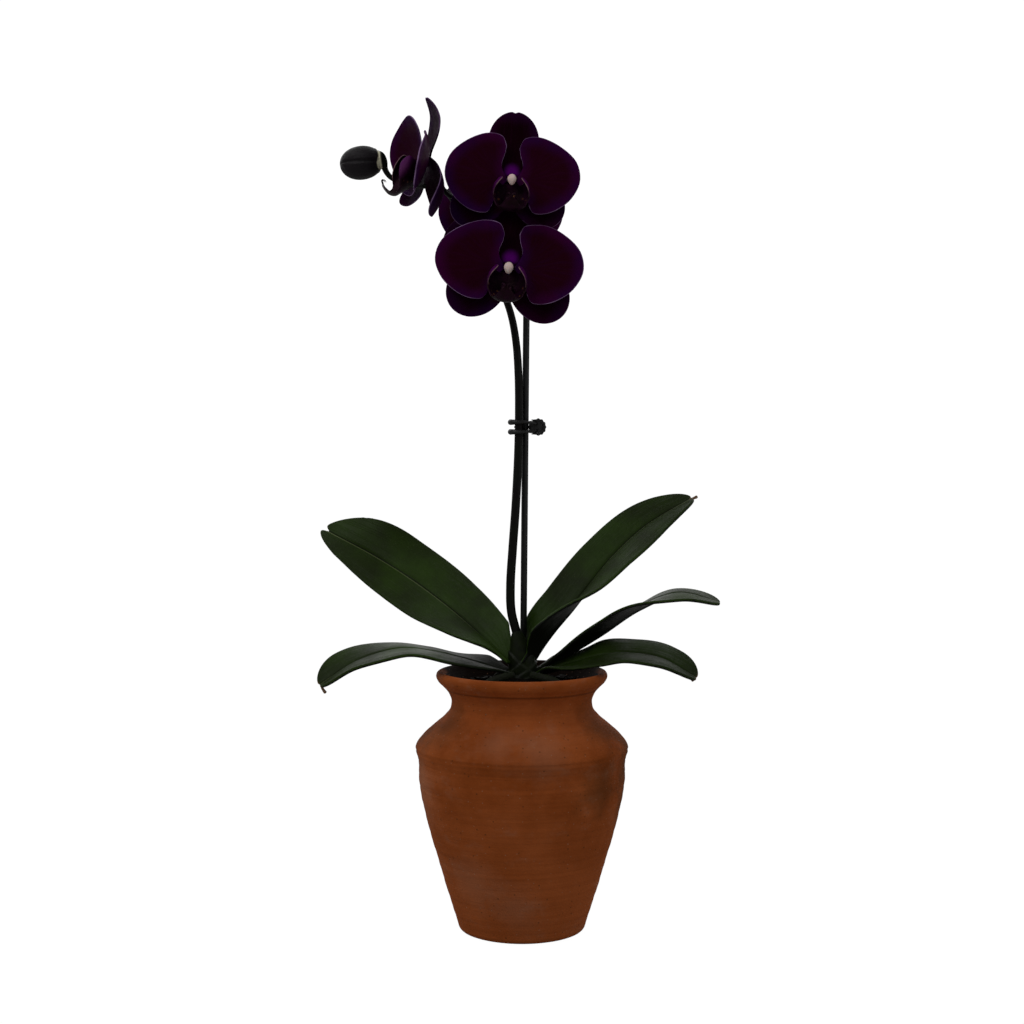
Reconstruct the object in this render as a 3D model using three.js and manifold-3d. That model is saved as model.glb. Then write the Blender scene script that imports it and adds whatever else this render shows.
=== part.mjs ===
// A moth orchid with near-black purple flowers, standing in an unglazed terracotta pot.
// Millimetres, +Z up. The open flowers face -Y. The origin is the centre of the pot's foot.

import * as THREE from 'three';
import { ParametricGeometry } from 'three/addons/geometries/ParametricGeometry.js';
import { mergeVertices } from 'three/addons/utils/BufferGeometryUtils.js';
import Module from 'manifold-3d';

const wasm = await Module();
wasm.setup();

// Driving dimensions of the pot
const POT_HEIGHT = 156.5;
const FLOOR_TOP = 7;
const DRAIN_RADIUS = 4.5;
const DRAIN_CIRCLE_RADIUS = 19;
const DRAIN_COUNT = 4;
const POT_FLOOR_RADIUS = 32.2;
const BELLY_HEIGHT = 108.4;
const POT_SIDES = 32;
const DRAIN_SIDES = 12;

// Outside of the pot from the foot up to the top of the rolled rim, as radius and height
const POT_OUTSIDE = [
  [34.6, 0], [37.4, 1.2], [39.2, 6], [46.6, 30], [54.2, 56], [58.9, 74], [61.6, 90], [62.2, 102.4],
  [63.5, 105.4], [64, 108.6], [63.3, 112.2], [60.3, 116.8], [54.5, 122.8], [47, 129.6], [43.4, 133.8],
  [42.4, 138.6], [43.6, 143.4], [46.9, 147.6], [50.2, 150.7], [51.4, 153.4], [50.7, 155.7],
  [48.9, POT_HEIGHT],
];
// Inside of the pot from the lip down to the floor
const POT_INSIDE = [
  [47, 155.5], [44.4, 152.4], [39.6, 147.6], [36.9, 143], [36.4, 138.4], [37.7, 133.2], [42.2, 127.4],
  [49.2, 120], [55.6, 113.4], [57.6, BELLY_HEIGHT], [56, 92], [48, 55], [34.2, 10],
  [POT_FLOOR_RADIUS, FLOOR_TOP],
];

// Driving dimensions of the bark mix, whose domed top surface is a list of radius and height
const MIX_SIDE_GAP = 0.6;
const MIX_FLOOR_GAP = 0.4;
const WELL_RADIUS = 8.5;
const WELL_FLOOR = 130.6;
const MIX_EDGE = 145.4;
const MIX_SURFACE = [[WELL_RADIUS, 149.6], [22, 148.8], [32, 147.2], [37.2, MIX_EDGE]];
const SEAT = 0.3;

// Stem base of the plant: height, centre x, half width in x and in y
const CROWN = [
  [131, 0, 5.6, 5.6], [136, 0, 7.7, 7.7], [148, 0, 8.1, 8.1], [156, 0, 9, 7.6],
  [164, -0.2, 7.8, 6], [171, -1.4, 5.1, 4.2], [177, -2.8, 3, 2.8],
];

// The five leaves. Each path is the midrib from the crown to the tip. The roll lifts the far half, and
// the fold lifts both halves from the midrib, both in degrees from the base to the tip.
const LEAVES = [
  {
    name: 'leaf_upper_left', width: 50, thickness: 2,
    path: [
      [-10.6, 2, 164.4], [-24.8, 10, 176.4], [-44, 22, 191.9],
      [-69.3, 36, 209.2], [-94.9, 46, 224], [-125.5, 57, 238.6],
    ],
    roll: [32, 27, 31, 43, 52, 38], fold: [36, 22, 10, 11, 17, 6],
  },
  {
    name: 'leaf_upper_right', width: 42, thickness: 2,
    path: [
      [9.3, 1.4, 163.4], [15.6, 4, 178.6], [28, 10, 194.3],
      [54.6, 23, 222.6], [78, 32, 243], [106.6, 40, 258.6],
    ],
    roll: [10, 16, 18, 25, 29, 26], fold: [16, 30, 21, 15, 13, 18],
  },
  {
    name: 'leaf_middle_right', width: 40, thickness: 2,
    path: [
      [10.2, 1, 157.6], [29, 5, 172.4], [47.2, 9, 182.8],
      [71.5, 14, 195.6], [95.8, 17, 200.8], [119.8, 18, 195.6],
    ],
    roll: [0, -7, -6, -2, 6, 16], fold: [30, -3, -2, -3, -4, 8],
  },
  {
    name: 'leaf_lower_right', width: 40, thickness: 2,
    path: [
      [10.2, -0.5, 153.2], [31.7, -4, 161.2], [46.6, -7, 165.2],
      [62, -9, 166.6], [82, -13, 163.8], [102.8, -16, 152.6],
    ],
    roll: [6, 16, 17, 14, 16, 26], fold: [40, 2, 6, 9, 11, 24],
  },
  {
    name: 'leaf_lower_left', width: 40, thickness: 2,
    path: [
      [-9.8, -0.5, 155.4], [-37.1, -5, 164], [-55, -7, 167.9],
      [-72.7, -10, 169.8], [-99.1, -15, 162.9], [-119.8, -18, 150],
    ],
    roll: [10, 11, 4, 7, 16, 36], fold: [40, -2, -3, 2, 11, 32],
  },
];
const LEAF_WIDEST = 0.52;
const LEAF_BASE_SHARE = 0.5;
const LEAF_TIP_POWER = 2.1;
const LEAF_FOOT_SHARE = 0.55;
const LEAF_FOOT_GROWTH = 5;

// Flower spike from the crown to the last node, and its radius at the bottom and at the last node
const SPIKE = [
  [-3, 0.4, 178.2], [-6.4, 0, 192], [-6.9, 0, 208], [-5.6, 0, 230], [-3.8, 0, 255], [-2.3, 0, 285],
  [-1.8, 0, 310], [-2.2, 0, 335], [-3.8, 0, 355], [-7, 0, 371], [-15, 0, 392], [-22.9, 0, 409.7],
  [-33.5, 0, 427.5], [-44.4, -1.6, 441.6],
];
const SPIKE_RADIUS = [2.7, 2.6, 2.5, 2.1, 1.7];

// Support stake, which leans forward from the mix to the spike
const STAKE_FOOT = new THREE.Vector3(0.5, 13.8, 122);
const STAKE_TOP = new THREE.Vector3(2.7, -0.2, 384);
const STAKE_RADIUS = 2;
const STAKE_HOLE_RADIUS = 2.4;
const STAKE_SIDES = 14;

// Aerial roots over the mix, each as the points of its centre line
const ROOT_RADII = [2.3, 2.3, 1.4];
const ROOTS = [
  [[-6.1, -6.2, 154.4], [-14, -14, 153.4], [-22, -18, 151.2], [-28.5, -18.5, 148.3]],
  [[6.2, -6.1, 154.2], [15, -14, 153.3], [22, -17, 151.2], [27.5, -22.5, 147.9]],
  [[-5.5, 7.4, 154.6], [-12, 16, 153], [-16, 26, 149.2]],
];

// Flowers: the centre of the perianth, the turn about Z from facing -Y, the roll in the flower's own
// plane, a size factor, the spread and the forward cup of the left and the right petal, and for the dorsal
// and the two lateral sepals how far each leans back and how far its tip hooks forward
const FLOWERS = [
  {
    name: 'flower_low', at: [-8.6, -30, 395], turn: 1.5, roll: -4, size: 1.07, spread: [1, 1.06],
    cup: [4.5, 4.5], dorsal: [9, 0], laterals: [[1.5, 0], [1.5, 0]],
  },
  {
    name: 'flower_high', at: [-6.3, -26, 445.6], turn: -1.5, roll: -3.5, size: 1, spread: [1, 1.02],
    cup: [4, 4], dorsal: [5, 2], laterals: [[1, 1], [1, 1]],
  },
  {
    name: 'flower_side', at: [-56, -10, 457.7], turn: 74, roll: -10, size: 0.97, spread: [1, 1],
    cup: [15, 11], dorsal: [4, 7.5], laterals: [[-2, 8], [1, 0]],
  },
  {
    name: 'flower_back', at: [-13.4, 40, 434.6], turn: 186, roll: 3, size: 0.98, spread: [1, 1],
    cup: [6, 6], dorsal: [6, 2], laterals: [[1, 1], [1, 1]],
  },
];
// Petal seen face on, to the right of the column: the upper inner edge from the claw, the rim, and the
// lower inner edge from the claw
const PETAL_CLAW = [2.7, -0.4];
const PETAL_UPPER_EDGE = [PETAL_CLAW, [5.6, 4], [6.2, 9.6], [4.7, 14.8], [4, 19.5]];
const PETAL_RIM = [
  [4, 19.5], [7.2, 25.8], [17, 26.9], [28, 21.2], [36.6, 12.4], [39.6, 0.6], [34.6, -10.8],
  [25.6, -19], [19, -20.4], [14.6, -16.2],
];
const PETAL_LOWER_EDGE = [PETAL_CLAW, [6.6, -4], [10.6, -9.4], [14.6, -16.2]];
const PETAL_REACH = 39;
const PETAL_FRONT = 0.3;
const PETAL_THICKNESS = 1.2;

const SEPAL_ROOT = 2.9;
const SEPAL_BACK = -1.8;
const SEPAL_THICKNESS = 1.2;
const SEPAL_WIDEST = 0.56;
const SEPAL_CLAW_SHARE = 0.26;
const SEPAL_TIP_POWER = 1.9;
const SEPAL_LEAN_END = 0.66;
const SEPAL_DISH = 0.09;
const DORSAL = { angle: 90, length: 40.8, halfWidth: 14.8 };
const LATERAL = { angle: -36.5, length: 40.4, halfWidth: 13 };

// Lip from its hinge under the column to the hooked tip: forward, up, half width, rise of the section,
// and half the section's opening angle in degrees
const LIP = [
  [1.5, -3.1, 2.2, 2, 50], [4.5, -8, 6, 5, 84], [8.5, -13.2, 10, 7.6, 130], [13, -16.2, 11.3, 8.6, 148],
  [17, -18, 10.6, 8, 104], [20, -19.3, 8.6, 7, 62], [24, -18.6, 6.4, 6, 46],
  [26.8, -15.2, 3.4, 4, 36], [27.7, -12.2, 0.8, 2, 30],
];
const LIP_THICKNESS = 1;
const LIP_LOBE_LEAN = 3;

const COLUMN = [[0, 0, -2.6], [0, 0, 4], [0, -0.5, 8], [0, -1.3, 11.3]];
const COLUMN_RADIUS = [2.1, 2.6];
const CAP_CENTRE = [0, -1.7, 13.7];
const CAP_RADII = [2.5, 3.4, 2];
// The pedicel ends behind the perianth, in the flower's own axes, after a straight run
const PEDICEL_END = -3;
const PEDICEL_GAP = 0.2;
const PEDICEL_RUN = 3;

// Pedicels: the points between the spike and the flower's back
const PEDICELS = {
  flower_low: [[-14.2, -2.8, 393.4], [-12, -11, 398], [-9.6, -19, 397]],
  flower_high: [[-33, -2.6, 429.2], [-28, -9, 438], [-16, -16, 445]],
  flower_side: [[-42, -4.6, 439.4], [-43.6, -6.4, 444.6], [-44.8, -7.6, 450.4], [-47.6, -8.3, 455.8]],
  flower_back: [[-22.2, 2.8, 411.4], [-20, 12, 421], [-16, 25, 431.5]],
};
const PEDICEL_RADII = [1.3, 2.6];
const BUD_PEDICEL = [
  [-45, -1.75, 442.3], [-47, -3, 443.2], [-51, -6.6, 443.6], [-56, -8.6, 444.2], [-60.4, -5, 444.8],
  [-65.6, 2, 446.5],
  [-72.6, 4.5, 448.8], [-77.6, 4.8, 451.8], [-80.2, 4.4, 456], [-82.4, 3.6, 459.6],
];
const BUD_BASE = new THREE.Vector3(-84.7, 3.6, 460.4);
const BUD_TIP = new THREE.Vector3(-108.4, 3.6, 457);
const BUD_RADIUS = 9.9;
const BUD_BASE_PHASE = 0.14;
const BUD_SKEW = 0.86;
const BUD_FULLNESS = 0.72;
const BUD_PEDICEL_RADII = [1.2, 1.3, 1.3, 1.5, 2.2];

// Bracts under the flower stalks: the node that each one clasps, and the side that it faces
const BRACTS = [
  { node: 10, side: [0.35, -0.94, 0] },
  { node: 11, side: [0.2, 0.98, 0] },
  { node: 12, side: [0.3, -0.95, 0] },
];
const BRACT_DROP = 6.4;
const BRACT_STANDOFF = 1.1;
const BRACT_LENGTH = 3.4;
const BRACT_LEAN = 0.8;
const BRACT_RADII = [0.5, 0.8, 0.2];

// Spring clip: its hinge line is parallel to Z, between the stake and the thumb tabs
const HINGE = new THREE.Vector3(7, 2, 302.7);
const TAB_ANGLE = 28;
const TAB_RADIUS = 4.2;
const TAB_BUMP = 0.3;
const TAB_BUMPS = 12;
const TAB_THICKNESS = 1.5;
const TAB_ALONG = 4.6;
const TAB_OUT = 2;
const BRIDGE = { start: -0.8, end: 3, thickness: 1.1, halfHeight: 3.7 };
const PRONG_RADII = [0.85, 0.85, 0.75, 0.6];
const PRONG_PATH = [
  [1.4, -4.8], [-1.6, -5.6], [-5, -5.9], [-9, -5.9], [-12.4, -4.9], [-14.2, -2.6], [-14.4, -1.2],
];
const FRONT_PRONG_HEIGHTS = [[-2, -2.9], [2, 2.9]];
const REAR_PRONG_HEIGHTS = [[0, 0]];
const FRONT_KNUCKLES = [[-3.7, -2.4], [2.4, 3.7]];
const REAR_KNUCKLES = [[-2.2, -1.35], [1.35, 2.2]];
const KNUCKLE_RADIUS = 1.6;
const KNUCKLE_BORE = 0.95;
const KNUCKLE_NECK = { halfWidth: 0.8, start: 0.4, sunk: 0.5 };
const PIN_RADIUS = 0.75;
const PIN_HEAD_RADIUS = 1.35;
const PIN_HALF_LENGTH = 4.5;
const PIN_HEAD_HEIGHT = 0.6;
const SPRING_RADIUS = 1.35;
const SPRING_WIRE = 0.28;
const SPRING_TURNS = 2.5;
const SPRING_HALF_HEIGHT = 0.8;
const SPRING_LEG = 4.2;
const SPRING_POINTS = 30;
const SPRING_STEPS = 44;

const material = (name, color, roughness, metalness = 0) =>
  new THREE.MeshStandardMaterial({ name, color, roughness, metalness });

const MATERIALS = {
  terracotta: material('terracotta', 0x6e3219, 0.85),
  mix: material('bark mix', 0x241710, 0.95),
  leaf: material('leaf', 0x232d1c, 0.5),
  stem: material('stem', 0x14180f, 0.5),
  root: material('root', 0x8a8f78, 0.8),
  petal: material('petal', 0x24041e, 0.6),
  lip: material('lip', 0x1b0710, 0.4),
  cap: material('anther cap', 0xd8d0bf, 0.5),
  bud: material('bud', 0x1c181c, 0.5),
  stake: material('stake', 0x101012, 0.45),
  clip: material('clip', 0x111111, 0.4),
  steel: material('steel', 0x8c8c8c, 0.35, 1),
};

// A value list between rows of numbers, smooth through every row, for s from 0 to 1
function track(rows) {
  return (s) => {
    const place = THREE.MathUtils.clamp(s, 0, 1) * (rows.length - 1);
    const i = Math.min(Math.floor(place), rows.length - 2);
    const t = place - i;
    const row = (k) => rows[THREE.MathUtils.clamp(k, 0, rows.length - 1)];
    return row(i).map((b, n) => {
      const a = row(i - 1)[n];
      const c = row(i + 1)[n];
      const d = row(i + 2)[n];
      return b + 0.5 * t * (c - a + t * (2 * a - 5 * b + 4 * c - d + t * (3 * (b - c) + d - a)));
    });
  };
}

const ramp = (values) => {
  const at = track(values.map((value) => [value]));
  return (s) => at(s)[0];
};

// Joins the seams of a geometry, drops triangles without area and turns its faces outwards
function closed(geometry) {
  geometry.deleteAttribute('normal');
  geometry.deleteAttribute('uv');
  const merged = mergeVertices(geometry, 1e-3);
  const corner = [0, 1, 2].map(() => new THREE.Vector3());
  const kept = [];
  let volume = 0;
  for (let i = 0; i < merged.index.count; i += 3) {
    const ids = [0, 1, 2].map((k) => merged.index.getX(i + k));
    if (new Set(ids).size < 3) continue;
    ids.forEach((id, k) => corner[k].fromBufferAttribute(merged.attributes.position, id));
    volume += corner[0].dot(corner[1].clone().cross(corner[2]));
    kept.push(ids);
  }
  merged.setIndex(kept.flatMap(([a, b, c]) => (volume < 0 ? [a, c, b] : [a, b, c])));
  merged.computeVertexNormals();
  return merged;
}

function toManifold(geometry) {
  const vertProperties = new Float32Array(geometry.attributes.position.array);
  const triVerts = new Uint32Array(geometry.index.array);
  return new wasm.Manifold(new wasm.Mesh({ numProp: 3, vertProperties, triVerts }));
}

function fromManifold(manifold) {
  const { vertProperties, triVerts } = manifold.getMesh();
  const geometry = new THREE.BufferGeometry();
  geometry.setAttribute('position', new THREE.BufferAttribute(new Float32Array(vertProperties), 3));
  geometry.setIndex(new THREE.BufferAttribute(new Uint32Array(triVerts), 1));
  geometry.computeVertexNormals();
  return geometry;
}

const joined = (geometries) =>
  fromManifold(geometries.map(toManifold).reduce((whole, next) => whole.add(next)));

const cut = (geometry, tools) =>
  fromManifold(tools.map(toManifold).reduce((rest, tool) => rest.subtract(tool), toManifold(geometry)));

// A profile of radius and height turned about Z
function turned(profile, sides) {
  const points = profile.map(([radius, height]) => new THREE.Vector2(radius, height));
  return closed(new THREE.LatheGeometry(points, sides).rotateX(Math.PI / 2));
}

// A closed skin through rings: ring(s, a) is a point, with s from end to end and a once around
function skin(ring, steps, sides) {
  const middle = (s) => {
    const sum = new THREE.Vector3();
    for (let k = 0; k < sides; k += 1) sum.add(ring(s, k / sides));
    return sum.divideScalar(sides);
  };
  const ends = [middle(0), middle(1)];
  const surface = (u, v, target) => {
    const row = u * (steps + 2) - 1;
    if (row < -0.5) target.copy(ends[0]);
    else if (row > steps + 0.5) target.copy(ends[1]);
    else target.copy(ring(THREE.MathUtils.clamp(row / steps, 0, 1), v % 1));
  };
  return closed(new ParametricGeometry(surface, steps + 2, sides));
}

// A thin closed sheet on both sides of middle(s, t). It thins to nothing at t = 0 and 1 and at both ends.
const SHEET_SIDE_POWER = 0.35;
const SHEET_END_POWER = 0.2;
function sheet(middle, thickness, steps, across) {
  const step = 1e-3;
  const surface = (u, v, target) => {
    const front = v < 0.5;
    const t = front ? 2 * v : 2 - 2 * v;
    const low = [Math.max(u - step, 0), Math.max(t - step, 0)];
    const high = [Math.min(u + step, 1), Math.min(t + step, 1)];
    const along = middle(high[0], t).sub(middle(low[0], t));
    const over = middle(u, high[1]).sub(middle(u, low[1]));
    const normal = along.cross(over).normalize();
    const swell = (4 * t * (1 - t)) ** SHEET_SIDE_POWER * (4 * u * (1 - u)) ** SHEET_END_POWER;
    target.copy(middle(u, t)).addScaledVector(normal, (front ? 0.5 : -0.5) * thickness * swell);
  };
  return closed(new ParametricGeometry(surface, steps, across * 2));
}

// A round stem along points, with its radius given from end to end
function stem(points, radii, steps, sides) {
  const curve = new THREE.CatmullRomCurve3(points.map((p) => new THREE.Vector3(...p)));
  const frames = curve.computeFrenetFrames(steps, false);
  const radius = ramp(radii);
  const ring = (s, a) => {
    const i = Math.round(s * steps);
    const r = radius(i / steps);
    return curve.getPointAt(i / steps)
      .addScaledVector(frames.normals[i], r * Math.cos(2 * Math.PI * a))
      .addScaledVector(frames.binormals[i], r * Math.sin(2 * Math.PI * a));
  };
  return skin(ring, steps, sides);
}

function pot() {
  const profile = [[0, 0], ...POT_OUTSIDE, ...POT_INSIDE, [0, FLOOR_TOP]];
  const drains = [];
  for (let k = 0; k < DRAIN_COUNT; k += 1) {
    const angle = (2 * Math.PI * (k + 0.5)) / DRAIN_COUNT;
    const hole = new THREE.CylinderGeometry(DRAIN_RADIUS, DRAIN_RADIUS, 4 * FLOOR_TOP, DRAIN_SIDES);
    hole.rotateX(Math.PI / 2);
    hole.translate(DRAIN_CIRCLE_RADIUS * Math.cos(angle), DRAIN_CIRCLE_RADIUS * Math.sin(angle), 0);
    drains.push(closed(hole));
  }
  return cut(turned(profile, POT_SIDES), drains);
}

// The straight rod of the stake, from its foot to its top, at a given radius
function rod(radius) {
  const length = STAKE_TOP.distanceTo(STAKE_FOOT);
  const geometry = new THREE.CylinderGeometry(radius, radius, length, STAKE_SIDES);
  geometry.translate(0, length / 2, 0);
  const direction = STAKE_TOP.clone().sub(STAKE_FOOT).normalize();
  geometry.applyQuaternion(new THREE.Quaternion().setFromUnitVectors(new THREE.Vector3(0, 1, 0), direction));
  return closed(geometry.translate(STAKE_FOOT.x, STAKE_FOOT.y, STAKE_FOOT.z));
}

function mix() {
  const wall = POT_INSIDE.filter(([, height]) => height < MIX_EDGE && height > FLOOR_TOP)
    .map(([radius, height]) => {
      const shift = height < BELLY_HEIGHT ? MIX_FLOOR_GAP : -MIX_FLOOR_GAP;
      return [radius - MIX_SIDE_GAP, height + shift];
    });
  const floor = FLOOR_TOP + MIX_FLOOR_GAP;
  const profile = [
    [0, WELL_FLOOR], [WELL_RADIUS, WELL_FLOOR], ...MIX_SURFACE, ...wall,
    [POT_FLOOR_RADIUS - MIX_SIDE_GAP, floor], [0, floor],
  ];
  const hole = rod(STAKE_HOLE_RADIUS);
  const shift = STAKE_TOP.clone().sub(STAKE_FOOT).normalize().multiplyScalar(-SEAT);
  return cut(turned(profile, POT_SIDES), [hole.translate(shift.x, shift.y, shift.z)]);
}

function crown() {
  const at = track(CROWN);
  const ring = (s, a) => {
    const [height, x, halfX, halfY] = at(s);
    const angle = 2 * Math.PI * a;
    return new THREE.Vector3(x + halfX * Math.cos(angle), halfY * Math.sin(angle), height);
  };
  return skin(ring, 10, 14);
}

// Half of a leaf's width as a share of its widest, s from the base to the tip
function leafShare(s) {
  if (s > LEAF_WIDEST) {
    return Math.sqrt(1 - ((s - LEAF_WIDEST) / (1 - LEAF_WIDEST)) ** LEAF_TIP_POWER);
  }
  const rise = LEAF_BASE_SHARE + (1 - LEAF_BASE_SHARE) * Math.sin((Math.PI / 2) * (s / LEAF_WIDEST));
  return rise * Math.min(1, LEAF_FOOT_SHARE + LEAF_FOOT_GROWTH * s);
}

function leaf({ width, thickness, path, roll, fold }) {
  const curve = new THREE.CatmullRomCurve3(path.map((p) => new THREE.Vector3(...p)));
  const rollAt = ramp(roll);
  const foldAt = ramp(fold);
  const middle = (s, t) => {
    const tangent = curve.getTangentAt(s);
    const up = new THREE.Vector3(0, 0, 1).addScaledVector(tangent, -tangent.z).normalize();
    const far = up.clone().cross(tangent);
    if (far.y < 0) far.negate();
    const angle = THREE.MathUtils.degToRad(rollAt(s));
    const side = far.clone().multiplyScalar(Math.cos(angle)).addScaledVector(up, Math.sin(angle));
    const face = up.clone().multiplyScalar(Math.cos(angle)).addScaledVector(far, -Math.sin(angle));
    const reach = (width / 2) * leafShare(s) * (2 * t - 1);
    const rise = THREE.MathUtils.degToRad(foldAt(s));
    return curve.getPointAt(s)
      .addScaledVector(side, reach * Math.cos(rise))
      .addScaledVector(face, Math.abs(reach) * Math.sin(rise));
  };
  return sheet(middle, thickness, 16, 6);
}

const splineAt = (points) => {
  const curve = new THREE.SplineCurve(points.map(([x, y]) => new THREE.Vector2(x, y)));
  return (t) => curve.getPoint(THREE.MathUtils.clamp(t, 0, 1));
};

// A petal is spread between its two inner edges, with the rim's bulge added in proportion to s
function petal(side, size, spread, cup) {
  const upper = splineAt(PETAL_UPPER_EDGE);
  const lower = splineAt(PETAL_LOWER_EDGE);
  const rim = splineAt(PETAL_RIM);
  const [rimStart, rimEnd] = [rim(0), rim(1)];
  const middle = (s, t) => {
    const chord = rimStart.clone().lerp(rimEnd, t);
    const flat = upper(s).lerp(lower(s), t).add(rim(t).sub(chord).multiplyScalar(s));
    const reach = flat.distanceTo(new THREE.Vector2(...PETAL_CLAW)) / PETAL_REACH;
    const forward = PETAL_FRONT + (cup * reach ** 2) / size;
    return new THREE.Vector3(side * spread * flat.x, flat.y, forward).multiplyScalar(size);
  };
  return sheet(middle, PETAL_THICKNESS, 6, 10);
}

function sepalShare(s) {
  if (s > SEPAL_WIDEST) return Math.sqrt(1 - ((s - SEPAL_WIDEST) / (1 - SEPAL_WIDEST)) ** SEPAL_TIP_POWER);
  return SEPAL_CLAW_SHARE + (1 - SEPAL_CLAW_SHARE) * Math.sin((Math.PI / 2) * (s / SEPAL_WIDEST));
}

// A sepal leans back by lean at two thirds of its length and comes forward again by hook at its tip
function sepal({ angle, length, halfWidth }, side, size, [lean, hook]) {
  const turn = THREE.MathUtils.degToRad(angle);
  const along = new THREE.Vector2(side * Math.cos(turn), Math.sin(turn));
  const across = new THREE.Vector2(-along.y, along.x);
  const middle = (s, t) => {
    const reach = SEPAL_ROOT + (length - SEPAL_ROOT) * s;
    const offset = halfWidth * sepalShare(s) * (2 * t - 1);
    const leaning = lean * Math.sin((Math.PI / 2) * Math.min(1, s / SEPAL_LEAN_END));
    const back = SEPAL_BACK - (leaning - hook * s ** 4) / size;
    const dish = SEPAL_DISH * (offset ** 2 / halfWidth);
    return new THREE.Vector3(
      along.x * reach + across.x * offset,
      along.y * reach + across.y * offset,
      back + dish,
    ).multiplyScalar(size);
  };
  return sheet(middle, SEPAL_THICKNESS, 8, 4);
}

function lip(size) {
  const at = track(LIP);
  const middle = (s, t) => {
    const [forward, up, halfWidth, rise, opening] = at(s);
    const angle = THREE.MathUtils.degToRad(opening) * (2 * t - 1);
    const height = 1 - Math.cos(angle);
    return new THREE.Vector3(
      halfWidth * Math.sin(angle) / Math.sin(Math.min(Math.PI / 2, THREE.MathUtils.degToRad(opening))),
      up + rise * height,
      forward + LIP_LOBE_LEAN * height / 2,
    ).multiplyScalar(size);
  };
  return sheet(middle, LIP_THICKNESS, 12, 8);
}

function ball(centre, radii, size) {
  const geometry = new THREE.SphereGeometry(1, 10, 7).scale(...radii).translate(...centre);
  return closed(geometry.scale(size, size, size));
}

function bud() {
  const axis = BUD_TIP.clone().sub(BUD_BASE);
  const side = new THREE.Vector3(0, 1, 0);
  const up = axis.clone().normalize().cross(side).normalize();
  const ring = (s, a) => {
    const phase = (BUD_BASE_PHASE + (1 - BUD_BASE_PHASE) * s) ** BUD_SKEW;
    const radius = BUD_RADIUS * Math.sin(Math.PI * phase) ** BUD_FULLNESS;
    const angle = 2 * Math.PI * a;
    return BUD_BASE.clone().addScaledVector(axis, s)
      .addScaledVector(side, radius * Math.cos(angle))
      .addScaledVector(up, radius * Math.sin(angle));
  };
  return skin(ring, 10, 12);
}

function bract({ node, side }) {
  const place = new THREE.Vector3(...SPIKE[node]);
  const rise = new THREE.Vector3(...SPIKE[node]).sub(new THREE.Vector3(...SPIKE[node - 1])).normalize();
  const out = new THREE.Vector3(...side).normalize();
  const stalkRadius = ramp(SPIKE_RADIUS)(node / (SPIKE.length - 1));
  const standoff = stalkRadius + BRACT_STANDOFF;
  const foot = place.clone().addScaledVector(rise, -BRACT_DROP).addScaledVector(out, standoff);
  const tip = foot.clone().addScaledVector(rise, BRACT_LENGTH).addScaledVector(out, BRACT_LEAN);
  const half = foot.clone().lerp(tip, 0.5).addScaledVector(out, BRACT_LEAN / 4);
  return stem([foot.toArray(), half.toArray(), tip.toArray()], BRACT_RADII, 4, 6);
}

// The two halves of the clip share one form. sign is -1 for the front half and +1 for the rear one.
function clipHalf(sign, prongHeights, knuckles) {
  const angle = THREE.MathUtils.degToRad(TAB_ANGLE);
  const along = new THREE.Vector3(Math.cos(angle), sign * Math.sin(angle), 0);
  const out = new THREE.Vector3(-Math.sin(angle), sign * Math.cos(angle), 0);
  const turn = new THREE.Matrix4().makeBasis(along, out, new THREE.Vector3(0, 0, 1));
  const block = (low, high) => {
    const size = high.map((value, i) => value - low[i]);
    const box = new THREE.BoxGeometry(...size).translate(...low.map((value, i) => value + size[i] / 2));
    return closed(box.applyMatrix4(turn));
  };
  const outline = new THREE.Shape();
  const points = TAB_BUMPS * 3;
  for (let k = 0; k < points; k += 1) {
    const a = (2 * Math.PI * k) / points;
    const r = TAB_RADIUS + TAB_BUMP * Math.cos(TAB_BUMPS * a);
    if (k === 0) outline.moveTo(r, 0);
    else outline.lineTo(r * Math.cos(a), r * Math.sin(a));
  }
  const tab = new THREE.ExtrudeGeometry(outline, { depth: TAB_THICKNESS, bevelEnabled: false });
  tab.rotateX(-Math.PI / 2).translate(TAB_ALONG, TAB_OUT, 0).applyMatrix4(turn);
  const bridgeLow = [BRIDGE.start, TAB_OUT, -BRIDGE.halfHeight];
  const bridgeHigh = [BRIDGE.end, TAB_OUT + BRIDGE.thickness, BRIDGE.halfHeight];
  const pieces = [closed(tab), block(bridgeLow, bridgeHigh)];
  for (const [start, end] of prongHeights) {
    const heights = ramp([start, end, end, end]);
    const path = PRONG_PATH.map(([x, y], i) => [x, -sign * y, heights(i / (PRONG_PATH.length - 1))]);
    pieces.push(stem(path, PRONG_RADII, 10, 7));
  }
  for (const [low, high] of knuckles) {
    const ring = new THREE.CylinderGeometry(KNUCKLE_RADIUS, KNUCKLE_RADIUS, high - low, 16);
    pieces.push(closed(ring.rotateX(Math.PI / 2).translate(0, 0, (low + high) / 2)));
    const { halfWidth, start, sunk } = KNUCKLE_NECK;
    pieces.push(block([-halfWidth, start, low], [halfWidth, TAB_OUT + sunk, high]));
  }
  const bore = new THREE.CylinderGeometry(KNUCKLE_BORE, KNUCKLE_BORE, 12, 16).rotateX(Math.PI / 2);
  return cut(joined(pieces), [closed(bore)]);
}

function clipPin() {
  const shank = PIN_HALF_LENGTH - PIN_HEAD_HEIGHT;
  return turned([
    [0, -PIN_HALF_LENGTH], [PIN_HEAD_RADIUS, -PIN_HALF_LENGTH], [PIN_HEAD_RADIUS, -shank],
    [PIN_RADIUS, -shank],
    [PIN_RADIUS, shank], [PIN_HEAD_RADIUS, shank], [PIN_HEAD_RADIUS, PIN_HALF_LENGTH], [0, PIN_HALF_LENGTH],
  ], 14);
}

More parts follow.
